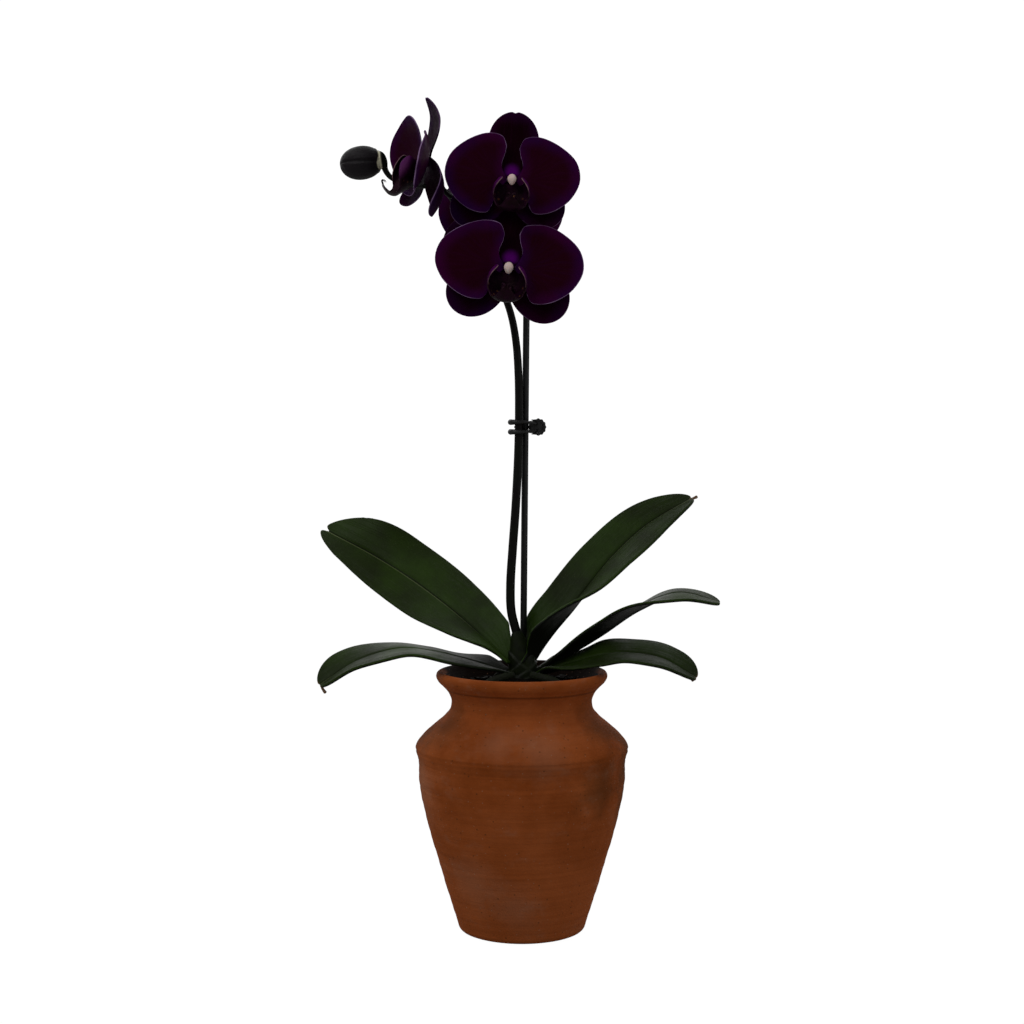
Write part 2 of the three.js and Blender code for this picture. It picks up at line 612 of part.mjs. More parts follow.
// Torsion spring round the pin, with a straight leg against each half of the clip
function clipSpring() {
  const angle = THREE.MathUtils.degToRad(TAB_ANGLE);
  const start = -Math.PI / 2 - angle;
  const end = Math.PI / 2 + angle + 2 * Math.PI * (SPRING_TURNS - 0.5);
  const at = (share) => {
    const a = start + (end - start) * share;
    const z = SPRING_HALF_HEIGHT * (2 * share - 1);
    return new THREE.Vector3(SPRING_RADIUS * Math.cos(a), SPRING_RADIUS * Math.sin(a), z);
  };
  const points = [];
  for (let k = 0; k <= SPRING_POINTS; k += 1) points.push(at(k / SPRING_POINTS));
  const leg = (from, sign) => from.clone().add(
    new THREE.Vector3(Math.cos(angle), sign * Math.sin(angle), 0).multiplyScalar(SPRING_LEG),
  );
  points.unshift(leg(points[0], -1));
  points.push(leg(points[points.length - 1], 1));
  const wire = new THREE.Shape().absarc(0, 0, SPRING_WIRE, 0, 2 * Math.PI);
  const path = new THREE.CatmullRomCurve3(points);
  const sweep = { steps: SPRING_STEPS, extrudePath: path, curveSegments: 3 };
  return closed(new THREE.ExtrudeGeometry(wire, sweep));
}

function addMesh(parent, name, geometry, look) {
  const mesh = new THREE.Mesh(geometry, look);
  mesh.name = name;
  parent.add(mesh);
}

// A flower's own axes are +X to the right of a viewer who faces it, +Y up and +Z towards the viewer
function addFlower(plant, flower) {
  const stand = new THREE.Group();
  stand.position.set(...flower.at);
  stand.rotation.z = -THREE.MathUtils.degToRad(flower.turn);
  const upright = new THREE.Group();
  upright.rotation.x = Math.PI / 2;
  const face = new THREE.Group();
  face.rotation.z = THREE.MathUtils.degToRad(flower.roll);
  stand.add(upright);
  upright.add(face);
  plant.add(stand);
  const { name, size, spread, cup, dorsal, laterals } = flower;
  addMesh(face, `${name}_dorsal_sepal`, sepal(DORSAL, 1, size, dorsal), MATERIALS.petal);
  ['left', 'right'].forEach((label, i) => {
    const side = 2 * i - 1;
    addMesh(face, `${name}_lateral_sepal_${label}`, sepal(LATERAL, side, size, laterals[i]), MATERIALS.petal);
    addMesh(face, `${name}_petal_${label}`, petal(side, size, spread[i], cup[i]), MATERIALS.petal);
  });
  addMesh(face, `${name}_lip`, lip(size), MATERIALS.lip);
  addMesh(face, `${name}_column`, stem(COLUMN, COLUMN_RADIUS, 5, 8).scale(size, size, size), MATERIALS.petal);
  addMesh(face, `${name}_anther_cap`, ball(CAP_CENTRE, CAP_RADII, size), MATERIALS.cap);
  stand.updateMatrixWorld(true);
  const back = new THREE.Vector3(0, 0, PEDICEL_END * size - PEDICEL_GAP).applyMatrix4(face.matrixWorld);
  const behind = new THREE.Vector3(0, 0, PEDICEL_END * size - PEDICEL_RUN).applyMatrix4(face.matrixWorld);
  const route = [...PEDICELS[name], behind.toArray(), back.toArray()];
  addMesh(plant, `${name}_pedicel`, stem(route, PEDICEL_RADII, 9, 8), MATERIALS.stem);
}

const orchid = new THREE.Group();
addMesh(orchid, 'terracotta_pot', pot(), MATERIALS.terracotta);
addMesh(orchid, 'bark_mix', mix(), MATERIALS.mix);
addMesh(orchid, 'stem_base', crown(), MATERIALS.stem);
for (const spec of LEAVES) addMesh(orchid, spec.name, leaf(spec), MATERIALS.leaf);
ROOTS.forEach((path, i) => {
  addMesh(orchid, `aerial_root_${i + 1}`, stem(path, ROOT_RADII, 8, 8), MATERIALS.root);
});
addMesh(orchid, 'flower_spike', stem(SPIKE, SPIKE_RADIUS, 34, 8), MATERIALS.stem);
addMesh(orchid, 'support_stake', rod(STAKE_RADIUS), MATERIALS.stake);
for (const flower of FLOWERS) addFlower(orchid, flower);
addMesh(orchid, 'bud_pedicel', stem(BUD_PEDICEL, BUD_PEDICEL_RADII, 22, 8), MATERIALS.stem);
addMesh(orchid, 'flower_bud', bud(), MATERIALS.bud);
BRACTS.forEach((spec, i) => addMesh(orchid, `bract_${i + 1}`, bract(spec), MATERIALS.stem));

const clip = new THREE.Group();
clip.position.copy(HINGE);
addMesh(clip, 'clip_front_jaw', clipHalf(-1, FRONT_PRONG_HEIGHTS, FRONT_KNUCKLES), MATERIALS.clip);
addMesh(clip, 'clip_rear_jaw', clipHalf(1, REAR_PRONG_HEIGHTS, REAR_KNUCKLES), MATERIALS.clip);
addMesh(clip, 'clip_hinge_pin', clipPin(), MATERIALS.steel);
addMesh(clip, 'clip_spring', clipSpring(), MATERIALS.steel);
orchid.add(clip);

export default orchid;
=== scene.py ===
"""The looks of a potted moth orchid with near-black purple flowers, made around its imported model.

Shapes are worked out in millimetres in the frame of the model, and become metres when a mesh is made.
"""

import math

import bmesh
import bpy
import numpy as np
from bpy.props import FloatProperty, FloatVectorProperty, IntProperty, PointerProperty
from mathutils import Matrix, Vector


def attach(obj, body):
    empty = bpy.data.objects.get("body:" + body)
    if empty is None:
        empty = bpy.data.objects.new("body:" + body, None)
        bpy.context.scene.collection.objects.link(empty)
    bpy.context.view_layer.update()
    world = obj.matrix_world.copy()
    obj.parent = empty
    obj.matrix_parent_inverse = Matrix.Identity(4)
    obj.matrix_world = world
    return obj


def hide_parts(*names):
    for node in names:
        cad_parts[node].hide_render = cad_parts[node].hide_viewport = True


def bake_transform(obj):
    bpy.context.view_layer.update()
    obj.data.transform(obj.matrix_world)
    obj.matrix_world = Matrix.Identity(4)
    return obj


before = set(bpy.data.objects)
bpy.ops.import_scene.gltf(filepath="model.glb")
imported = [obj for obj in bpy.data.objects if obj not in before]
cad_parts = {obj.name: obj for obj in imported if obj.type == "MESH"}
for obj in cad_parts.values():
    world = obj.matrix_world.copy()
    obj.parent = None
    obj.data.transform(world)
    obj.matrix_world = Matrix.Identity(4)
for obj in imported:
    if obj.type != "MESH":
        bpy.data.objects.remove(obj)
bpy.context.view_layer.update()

bl_info = {
    "name": "Potted Moth Orchid",
    "version": (1, 0, 0),
    "blender": (4, 5, 0),
    "location": "3D View > Sidebar > Orchid",
    "description": "Builds the pieces, finishes and studio of a potted moth orchid",
    "category": "Add Mesh",
}

MM = 0.001
JOIN_DISTANCE = 0.0002
PLANT = "orchid"
REAR_JAW = "clip_jaw"
POINT_VALUES = ("edge", "heart", "front", "rib", "mark")

# Pot: radius and height up the outside to the top of the rim, and down the inside to the floor
POT_OUTSIDE = [
    [34.6, 0], [37.4, 1.2], [39.2, 6], [46.6, 30], [54.2, 56], [58.9, 74], [61.6, 90], [62.2, 102.8],
    [62.9, 106.6], [64, 110.2], [63.2, 112.8], [59.6, 117.4], [53.8, 122.9], [46.6, 129.2], [43, 133.6],
    [42.2, 138.6], [43.6, 143.4], [46.9, 147.6], [50.2, 150.7], [51.4, 153.4], [50.7, 155.7], [48.9, 156.5],
]
POT_INSIDE = [
    [47, 155.5], [44.4, 152.4], [39.6, 147.6], [36.9, 143], [36.4, 138.4], [37.7, 133.2], [42.2, 127.4],
    [49.2, 120], [55.6, 113.4], [57.6, 108.4], [56, 92], [48, 55], [34.2, 10], [32.2, 7],
]
FLOOR_TOP = 7
DRAIN_RADIUS = 4.5
DRAIN_CIRCLE_RADIUS = 19
DRAIN_COUNT = 4
DRAIN_SIDES = 40
# Throwing rings, a sum of waves up the wall: height of a wave over 2 pi, share of the drift round the pot,
# phase, and share of the depth
POT_RINGS = [[0.9, 1, 0, 0.3], [2.1, 0.6, 1, 0.45], [4.7, -1, 2, 0.6]]
# Lines cut round the pot: height, half width and depth
POT_LINES = [[109.6, 0.8, 0.6], [103.4, 0.6, 0.25], [95.8, 0.5, 0.2], [88, 0.5, 0.12]]

# Clay: where each change begins and is complete. Up the pot from clean to mottled, in the mouth upwards from
# light to dark and outwards from dark to light, and on the rim upwards and backwards from light to dark. The
# dark in the mouth and on the rear of the rim is painted shade
CLEAN_HEIGHT = [10, 100]
MOUTH_HEIGHT = [145, 147.5]
MOUTH_RADIUS = [45.5, 46.8]
REAR_HEIGHT = [148, 152]
REAR_PLACE = [-5, 15]
# Marks on the pot: the angle round it in degrees from +X, the height, and the radius of the mark
# Chalk marks: partly pale lime bloom, partly a painted highlight, the lit patch on the front of the shoulder
CHALK_AND_HIGHLIGHT_MARKS = [
    [-78, 118, 24], [-106, 122, 18], [-168, 84, 32], [-160, 96, 20],
    [-96, 24, 22], [-127, 38, 26], [60, 90, 20], [130, 60, 24],
]
# Grime marks: partly grime, partly painted shade that darkens the pot towards its left and right sides
GRIME_AND_SHADE_MARKS = [
    [-26, 126, 24], [-10, 116, 22], [-14, 100, 22], [25, 120, 24],
    [-154, 126, 24], [-172, 118, 20], [-6, 80, 26], [-42, 92, 24],
]
CHALK_AND_HIGHLIGHT_STRENGTH = 0.22
GRIME_AND_SHADE_STRENGTH = 0.5

# Bark mix: radius and height of its domed top from the plant to the pot's wall, of its side down the wall,
# and of its flat underside
MIX_TOP = [[0, 149.8], [8.5, 149.6], [22, 148.8], [32, 147.2], [36.6, 145.4]]
MIX_SKIRT = [
    [36.4, 143], [35.8, 138.4], [37, 133.2], [41, 127.4], [48, 120], [54.4, 113], [56.4, 107.6], [54.8, 92],
    [46.8, 55], [33.2, 10],
]
MIX_FLOOR = [[31.2, 7.6], [0, 7.6]]
# Loose lumps on the mix: the least and the greatest distance from the plant's axis, and the proportions of
# length, width and height
LUMP_SEED = 7
LUMP_AWAY = [9, 34]
CHIP_PROPORTIONS = [1, 0.62, 0.34]
CRUMB_PROPORTIONS = [1, 0.8, 0.7]
CRUMB_COUNT = 26
CRUMB_SIZE = 2.2

# Stem base: height, centre x, half width in x and in y
CROWN = [
    [131, 0, 4.2, 4.2], [136, 0, 5.6, 5.6], [148, 0, 5.8, 5.6], [156, 0, 7.2, 5.8],
    [164, -0.2, 7.4, 5.4], [171, -1, 6.2, 4.4], [177, -2.4, 4.2, 3.2], [180.4, -3, 2.6, 2.4],
]
# Sheaths of the leaves round the stem base: angle of the leaf in degrees, mean height of the free edge, and
# how far that edge rises towards the leaf
SHEATHS = [[185, 152, 5], [-5, 151.5, 5], [10, 157, 6], [175, 162, 7], [5, 164, 8]]
SHEATH_THICKNESS = 0.8
SHEATH_LIP = 1.2

LEAF_THICKNESS = 2
# Leaves: width and the midrib's points. In degrees, evenly spaced along it: the blade's roll, and the fold
# of its far and of its near half. For the far and the near half: the share of the width at the foot, and the
# share lost at the tip. The tip's notch and skew, the wave of the edges, and the dry thread at the tip: how
# far it runs on and drops. Last, how much painted shadow darkens the base (below 0 it is greener instead)
# and how far up
LEAVES = [
    {
        "name": "leaf_upper_left", "width": 50,
        "path": [
            [-10.6, 2, 164.4], [-24.8, 10, 176.4], [-44, 22, 191.9],
            [-69.3, 36, 209.2], [-94.9, 46, 224], [-125.5, 57, 238.6],
        ],
        "roll": [32, 27, 31, 43, 52, 38],
        "fold": [36, 22, 10, 9, 22, 14], "near_fold": [52, 21, 6, 12, 20, 8],
        "foot": [0.62, 0.75], "slim": [-0.16, 0.3], "notch": 4.5, "skew": -3, "wave": 0.5,
        "thread": None, "base": [-1, 24],
    },
    {
        "name": "leaf_upper_right", "width": 42,
        "path": [
            [8.2, 1.4, 163.4], [17.2, 4, 178.2], [30.2, 10, 193.3],
            [54.6, 23, 222.6], [78, 32, 243], [106.6, 40, 258.6],
        ],
        "roll": [10, 16, 18, 25, 29, 26],
        "fold": [16, 30, 21, 15, 13, 18], "near_fold": [70, 56, 26, 15, 13, 18],
        "foot": [1, 1], "slim": [0, 0.15], "notch": 1.5, "skew": 0, "wave": 0.4,
        "thread": [4, 0.4], "base": [-1, 40],
    },
    {
        "name": "leaf_middle_right", "width": 36,
        "path": [
            [10.2, 1, 157.6], [27, 5, 166], [47.2, 9, 177.6],
            [71.5, 14, 193], [95.8, 17, 201.4], [121.4, 18, 195],
        ],
        "roll": [0, -6, -6, -4, 4, 12],
        "fold": [20, 4, 2, 0, 0, 12], "near_fold": [30, 36, 34, 10, -6, 4],
        "foot": [0.2, 0.3], "slim": [0, 0], "notch": 1, "skew": 1, "wave": 0.6,
        "thread": None, "base": [1, 24],
    },
    {
        "name": "leaf_lower_right", "width": 41.6,
        "path": [
            [10.2, -0.5, 154], [31.7, -4, 162], [46.6, -7, 166.4],
            [62, -9, 168], [82.8, -13, 165.2], [103.6, -16, 153.6],
        ],
        "roll": [6, 16, 14, 11, 13, 24],
        "fold": [40, 2, 6, 9, 11, 24], "near_fold": [40, 14, 6, 6, 8, 21],
        "foot": [0.5, 0.5], "slim": [0, 0], "notch": 0.8, "skew": 0, "wave": 0.4,
        "thread": [-2.4, 2.4], "base": [0.4, 200],
    },
    {
        "name": "leaf_lower_left", "width": 40,
        "path": [
            [-9.8, -0.5, 155.4], [-37.1, -5, 164.5], [-55, -7, 168.8],
            [-72.7, -10, 170.6], [-99.1, -15, 163.4], [-120.2, -18, 149.6],
        ],
        "roll": [10, 11, 4, 7, 16, 36],
        "fold": [40, -2, -3, 2, 11, 32], "near_fold": [20, 6, 1, 3, 14, 29],
        "foot": [0.5, 0.5], "slim": [0, 0], "notch": 1, "skew": 0.6, "wave": 0.5,
        "thread": [-3.4, 6.2], "base": [1, 50],
    },
]
LEAF_WIDEST = 0.52
LEAF_FOOT_SHARE = 0.55
LEAF_FOOT_GROWTH = 5
LEAF_TUCK = 7
LEAF_DROOP = 0.9
LEAF_GROOVE_WIDTH = 1
LEAF_KEEL_WIDTH = 1.5
# How far from the tip a withered end begins, and from where on it is wholly dry
LEAF_DRY = [1.5, 0.2]
LEAF_THREAD_RADII = [1.1, 0.8, 1]

SPIKE = [
    [-3, 0.4, 178.2], [-6.4, 0, 192], [-6.9, 0, 208], [-5.6, 0, 230], [-3.8, 0, 255], [-2.3, 0, 285],
    [-1.8, 0, 310], [-2.2, 0, 335], [-3.8, 0, 355], [-7, 0, 371], [-15, 0, 392], [-22.9, 0, 409.7],
    [-33.5, 0, 427.5], [-44.4, -1.6, 441.6],
]
SPIKE_RADII = [2.7, 2.6, 2.5, 2.1, 1.7]
SPIKE_FOOT = [-1.5, 0.6, 171]
# Swellings at the spike's nodes, as shares of its radius and of its length
NODE_SWELL = 0.22
NODE_LENGTH = 0.006
STAKE_FOOT = [0.5, 13.8, 122]
STAKE_TOP = [2.7, -0.2, 384]
STAKE_RADIUS = 2

ROOT_RADII = [2.3, 2.3, 1.4]
ROOTS = [
    [[-6.1, -6.2, 154.4], [-14, -14, 153.4], [-22, -18, 151.2], [-28.5, -18.5, 148.3]],
    [[6.2, -6.1, 154.2], [15, -14, 153.3], [22, -17, 151.2], [27.5, -22.5, 147.9]],
    [[-5.5, 7.4, 154.6], [-12, 16, 153], [-16, 26, 149.2]],
]

# Flowers: centre, turn about Z from facing -Y, roll in the flower's plane and size factor. The left and the
# right petal: spread, cup, lift in degrees, height factor, peak and backward slope. The dorsal, the left and
# the right sepal: lean back, forward hook of the tip, width factor, dish and extra length. If they aren't
# LIP_LOBES: how much the lip's side lobes rise and lean forward
FLOWERS = [
    {
        "name": "flower_low", "at": [-7.4, -30, 395], "turn": 1.5, "roll": -5, "size": 1.07,
        "petals": [[1.02, 4.5, 0, 0.9, 0, 0], [1.01, 4.5, 0, 0.91, -1, 0]],
        "sepals": [[9, 0, 1, 0.09, 0], [1.5, 0, 1.12, 0.09, -1.9], [1.5, 0, 1.14, 0.09, -1.4]],
    },
    {
        "name": "flower_high", "at": [-6.3, -26, 445.6], "turn": -1.5, "roll": -3.5, "size": 1,
        "petals": [[0.98, 4, 0, 0.97, 0, 0], [1, 4, 1, 0.93, 0, 0]],
        "sepals": [[5, 2, 1, 0.09, -0.8], [1, 1, 1.06, 0.09, 0], [1, 1, 1.06, 0.09, -3.4]],
    },
    {
        "name": "flower_side", "at": [-56.8, -10, 457.7], "turn": 74, "roll": -10, "size": 0.97,
        "petals": [[1, 14, 0, 1, 1, 0], [1, 15.6, -2, 0.74, 0, 0.24]],
        "sepals": [[6.3, 9.2, 0.9, 0.09, -2], [-1, 8.4, 0.7, 0.09, 2.4], [7.2, 13.8, 1.15, 0.24, 2.4]],
        "lobes": [0.6, 4.6],
    },
    {
        "name": "flower_back", "at": [-13.9, 40, 433.2], "turn": 186, "roll": 3, "size": 0.98,
        "petals": [[1, 6, 0, 1, 0, 0], [1, 6, 0, 1, 0, 0]],
        "sepals": [[6, 2, 1, 0.09, 0], [1, 1, 1, 0.09, 0], [1, 1, 1, 0.09, 0]],
    },
]
# A petal seen face on, to the right of the column: its two inner edges from the claw, and its rim
PETAL_CLAW = [2.7, -0.4]
PETAL_UPPER_EDGE = [PETAL_CLAW, [5.6, 4], [6.2, 9.6], [4.7, 14.8], [4, 19.5]]
PETAL_RIM = [
    [4, 19.5], [7.2, 25.6], [16.6, 26.4], [28, 21.2], [37, 12.4], [39.6, 0.6], [35, -10.4],
    [27.2, -17.4], [20, -20.4], [13.6, -20.2], [10.8, -16],
]
PETAL_LOWER_EDGE = [PETAL_CLAW, [5.8, -4.4], [8.8, -9.8], [10.8, -16]]
PETAL_REACH = 39
PETAL_FRONT = 0.3
PETAL_BULGE = 0.9
PETAL_PEAK = [0.145, 0.065]
SEPAL_ROOT = 0.6
SEPAL_BACK = -1.8
SEPAL_WIDEST = 0.56
SEPAL_CLAW_SHARE = 0.45
SEPAL_LEAN = [0.1, 0.75]
SEPAL_PLAIN = 8
DORSAL = {"angle": 90, "length": 40.8, "half_width": 14.8, "notch": 0.8}
LATERAL = {"angle": -36.5, "length": 40.4, "half_width": 13, "notch": 0}

# Lip, from its hinge to the hooked tip: forward, up, half width, rise of the section, half its opening angle
LIP = [
    [1.5, -3.1, 2.2, 2, 50], [4.5, -8, 5.6, 5, 84], [8.2, -13.2, 9.4, 7.4, 130],
    [12.2, -16.6, 10.5, 8.2, 148], [15.6, -18.8, 10.4, 7.6, 108], [18.4, -20.2, 8.6, 6.6, 64],
    [22, -19.4, 6, 5.6, 46], [25.3, -15.8, 3.4, 4, 36], [26.1, -13, 0.8, 2, 30],
]
LIP_THICKNESS = 0.6
LIP_LOBES = [0, 5]
LIP_LOBE_PEAK = [0.16, 0.15]
LIP_RIM = [0.08, 0.52]
CALLUS = {"at": [2.1, -13.4, 11.4], "radii": [1.7, 3, 2.2]}
TENDRIL = [[0.5, -13.2, 26], [0.9, -11.8, 26.5], [1.8, -11, 25.9], [2.4, -11.5, 24.9], [2.3, -12.4, 24.5]]
TENDRIL_RADII = [0.5, 0.34, 0.2]

# The distance from an edge that is given to parts without a pale rim
NO_RIM = 9
COLUMN = [[0, 0, -2.6], [0, 0, 4], [0, -0.5, 8], [0, -1.3, 11.3]]
COLUMN_RADII = [2.1, 2.3, 2.7, 2.9]
CAP_CENTRE = [0, -1.7, 13.2]
CAP_RADII = [2.6, 3.2, 2.2]
CAP_BEAK = 0.22
GLOW_CENTRE = [0, 4.2]
PEDICEL_END = -3
PEDICEL_RUN = 1
PEDICEL_SUNK = 0.6
PEDICELS = {
    "flower_low": [[-14.2, -2.8, 393.4], [-12, -11, 398], [-9.6, -19, 397]],
    "flower_high": [[-33, -2.6, 429.2], [-28, -9, 438], [-16, -16, 445]],
    "flower_side": [[-42, -3.4, 438.8], [-45, -5.2, 441], [-48.6, -7.4, 446], [-52.4, -8.8, 451]],
    "flower_back": [[-22.2, 2.8, 411.4], [-20, 12, 421], [-16, 25, 431.5]],
}
PEDICEL_RADII = [1.4, 1.5, 1.8, 2.2]

BUD_PEDICEL = [
    [-45, -1.75, 442.3], [-47, -3, 443.2], [-51, -6.6, 443.6], [-56, -8.6, 444.2], [-60.4, -5, 444.8],
    [-65.6, 2, 446.5], [-72.6, 4.5, 448.8], [-78.4, 5.2, 451.6], [-81.6, 5, 456], [-82.4, 4.6, 461],
    [-84.2, 4.2, 464.2], [-86.6, 4, 465],
]
BUD_PEDICEL_RADII = [1.3, 1.4, 1.4, 1.6, 2.4]
BUD_BASE = [-84.7, 3.6, 461.4]
BUD_TIP = [-108.4, 3.6, 458]
BUD_RADIUS = 9.9
BUD_WIDEST = 0.46
BUD_POWER = 2.1
BUD_GROOVES = [50, 170, 290]
BUD_RING = 0.05
BUD_RING_SWELL = 0.05
# How far the seams turn from base to tip and half their width, in radians, and how far the bud is from round
BUD_TWIST = 0.35
BUD_SEAM_WIDTH = 0.1
BUD_CORNERS = 0.25

# Bracts: the spike's point that each one clasps, and the side that it faces
BRACTS = [[10, [0.35, -0.94, 0]], [11, [0.2, 0.98, 0]], [12, [0.3, -0.95, 0]]]
BRACT_DROP = 6.4
BRACT_LENGTH = 5.4
BRACT_HALF_WIDTH = 2.6
BRACT_LEAN = 1.2
BRACT_GAP = 0.9
BRACT_THICKNESS = 0.5

# Spring clip
HINGE = [7, 2, 302.7]
TAB_ANGLE = 28
TAB_RADIUS = 5
TAB_BUMP = 0.22
TAB_BUMPS = 12
TAB_THICKNESS = 1.5
TAB_DISH = 0.35
TAB_ALONG = 4.5
TAB_OUT = 2
BRIDGE = {"start": -1.8, "end": 3, "thickness": 1.1, "half_height": 3.7, "bevel": 0.3}
PRONG_PATH = [
    [1.4, -4.8], [-1.6, -5.6], [-5, -5.9], [-9, -5.9], [-12.4, -4.9], [-14.2, -2.6], [-14.4, -1.2],
]
KNUCKLE_RADIUS = 1.6
KNUCKLE_BORE = 0.95
KNUCKLE_NECK = {"half_width": 0.8, "start": 0.4, "sunk": 0.5, "inset": 0.02, "bevel": 0.05}
JAWS = [
    {
        "name": "clip_front_jaw", "body": PLANT, "side": -1,
        "prongs": [[-2, -2.9], [2, 2.9]], "prong_radii": [0.85, 0.85, 1.45, 1.75], "reach": 0.96,
        "knuckles": [[-3.7, -2.4], [2.4, 3.7]],
    },
    {
        "name": "clip_rear_jaw", "body": REAR_JAW, "side": 1,
        "prongs": [[0, 0]], "prong_radii": [0.85, 0.85, 0.8, 0.6], "reach": 0.78,
        "knuckles": [[-2.2, -1.35], [1.35, 2.2]],
    },
]
PIN = [[0.75, 3.9], [1.35, 4.5]]
SPRING_RADIUS = 1.35
SPRING_WIRE = 0.28
SPRING_TURNS = 2.5
SPRING_HALF_HEIGHT = 0.8
SPRING_LEG = 4.2

WHITE = [1, 1, 1, 1]
# Lights: where each stands, and the side of its square
LIGHTS = {"Key": [[-900, -900, 1500], 1300], "Fill": [[1300, -700, 700], 1000]}
LIGHT_AIM = [0, 0, 250]
STAGE_RADIUS = 12000
STAGE_DROP = 0.4

# Camera: where it stands, how far it looks down, and its lens on a 36 mm sensor
CAMERA_AT = [-6, -1050, 301]
CAMERA_PITCH = 2.68
CAMERA_LENS = 61.7
SENSOR_WIDTH = 36


def tint(code):
    """Linear red, green and blue, and full alpha, of a colour written as 0xRRGGBB."""
    parts = [(code >> shift & 255) / 255 for shift in (16, 8, 0)]
    return [p / 12.92 if p <= 0.04045 else ((p + 0.055) / 1.055) ** 2.4 for p in parts] + [1]


def metres(values):
    """Lengths in millimetres as a list in metres."""
    return [value * MM for value in values]


def colour_property(name, description, code):
    """A colour that the user can change."""
    return FloatVectorProperty(
        name=name, description=description, default=tint(code), size=4, min=0, max=1, subtype="COLOR",
    )


def length_property(name, description, value):
    """A length that the user can change. The value is in millimetres."""
    return FloatProperty(
        name=name, description=description, default=value * MM, min=0, unit="LENGTH", precision=5,
    )


def light_property(name, description, value, unit="NONE"):
    """A strength or a power of light that the user can change."""
    return FloatProperty(name=name, description=description, default=value, min=0, unit=unit)


class PotSettings(bpy.types.PropertyGroup):
    """Sizes and colours of the pot."""

    clay: colour_property("Clay", "Fired clay where it is clean", 0xB05E30)
    dark_clay: colour_property("Dark clay", "Damp or darker fired patches", 0x8C4318)
    # Pale bloom, specks and chalk marks; the marks partly stand for a painted highlight on the shoulder
    chalk_and_highlight: colour_property("Chalk", "Pale lime bloom and scuffs", 0xA88068)
    # Painted shade, near black, inside the mouth and on the rear of the rim
    damp_and_shade: colour_property("Damp", "Wet dark clay inside the mouth", 0x0C0603)
    # Colour of the dark specks and of the grime marks, which are partly painted shade on the pot's sides
    grime_and_shade: colour_property("Grime", "Greenish grime in the shade of the shoulder", 0x3A2C18)
    ring_depth: length_property("Throwing rings", "Depth of the rings left by the potter's fingers", 0.16)
    wobble: length_property("Wobble", "How far the wall is from a true circle", 0.3)


class MixSettings(bpy.types.PropertyGroup):
    """Sizes and colours of the growing mix."""

    bark: colour_property("Bark", "Dry faces of the bark", 0x140E08)
    damp_and_shade: colour_property("Damp bark", "Damp faces and gaps", 0x080605)
    crumb: colour_property("Crumbs", "Pale crumbs of perlite", 0xA59C8C)
    chips: IntProperty(name="Chips", description="Number of bark chips on the surface", default=260, min=0)
    chip_size: length_property("Chip size", "Mean length of a bark chip", 9)


class LeafSettings(bpy.types.PropertyGroup):
    """Sizes and colours of the leaves."""

    blade: colour_property("Blade", "Upper face", 0x1D2708)
    young: colour_property("Young blade", "Greener patches", 0x2B4208)
    # The underside's own dark colour, deepened to near black by painted shade; also painted into the midrib's
    # groove and over shaded leaf bases
    under: colour_property("Under side", "Lower face", 0x0A0D05)
    rib: colour_property("Midrib", "Lighter line beside the midrib's groove", 0x6C7650)
    dry: colour_property("Dry tip", "Withered tip of a leaf", 0x8A6A50)
    groove: length_property("Midrib groove", "Depth of the groove along the midrib", 0.9)
    keel: length_property("Keel", "Height of the midrib under the leaf", 1.1)


class StemSettings(bpy.types.PropertyGroup):
    """Colours of the stems, the stem base and the roots."""

    stem: colour_property("Stem", "Spike and flower stalks", 0x0C1108)
    blush: colour_property("Blush", "Dark purple blush on the stems", 0x0D070A)
    sheath: colour_property("Sheath", "Stem base", 0x182106)
    root: colour_property("Root", "Dull grey-green skin of the aerial roots", 0x1E2018)
    root_tip: colour_property("Root tip", "Green growing tip", 0x2C3814)


class FlowerSettings(bpy.types.PropertyGroup):
    """Sizes and colours of the flowers."""

    heart: colour_property("Petal", "Middle of a petal", 0x2A0414)
    # The violet and magenta margins are partly the flower's own colour and partly a painted glow of light
    # through them
    violet: colour_property("Violet", "Bluish violet towards the margins", 0x2E084C)
    magenta: colour_property("Magenta", "Reddish violet towards the margins", 0x460442)
    glow: colour_property("Glow", "Violet round the column", 0x6A0884)
    # The rim is a painted highlight where a petal's edge catches the light
    rim: colour_property("Rim", "Pale line along a petal's edge", 0xA080AC)
    sepal: colour_property("Sepal", "Middle of a sepal", 0x150105)
    lip: colour_property("Lip", "Inside of the lip", 0x0C0104)
    # A painted highlight along the lip's edge; also the pink in the anther cap's patches
    lip_rim: colour_property("Lip rim", "Pale line along the lip's edge", 0xA88488)
    fleck: colour_property("Flecks", "Orange-brown flecks on the callus", 0xBE8450)
    cap: colour_property("Anther cap", "Cream cap on the column", 0xFFE4DC)
    thickness: length_property("Thickness", "Thickness of petals and sepals", 0.8)
    ripple: length_property("Ripple", "Height of the waves along the rim", 0.5)


class BudSettings(bpy.types.PropertyGroup):
    """Sizes and colours of the bud."""

    bud: colour_property("Bud", "Skin of the bud", 0x120A12)
    dark: colour_property("Seams", "Darker skin in the seams", 0x0C060C)
    # The cream ring is partly the base's own colour and partly a painted highlight
    ring: colour_property("Ring", "Cream ring at the bud's base", 0xFFFBDA)
    groove: length_property("Seams' depth", "Depth of the three seams between the sepals", 0.9)


class ClipSettings(bpy.types.PropertyGroup):
    """Colours of the stake and the clip."""

    stake: colour_property("Stake", "Plastic coat of the stake", 0x0B0C0D)
    plastic: colour_property("Clip", "Moulded plastic", 0x0E0E0F)
    steel: colour_property("Steel", "Spring and hinge pin", 0x9A9A9A)


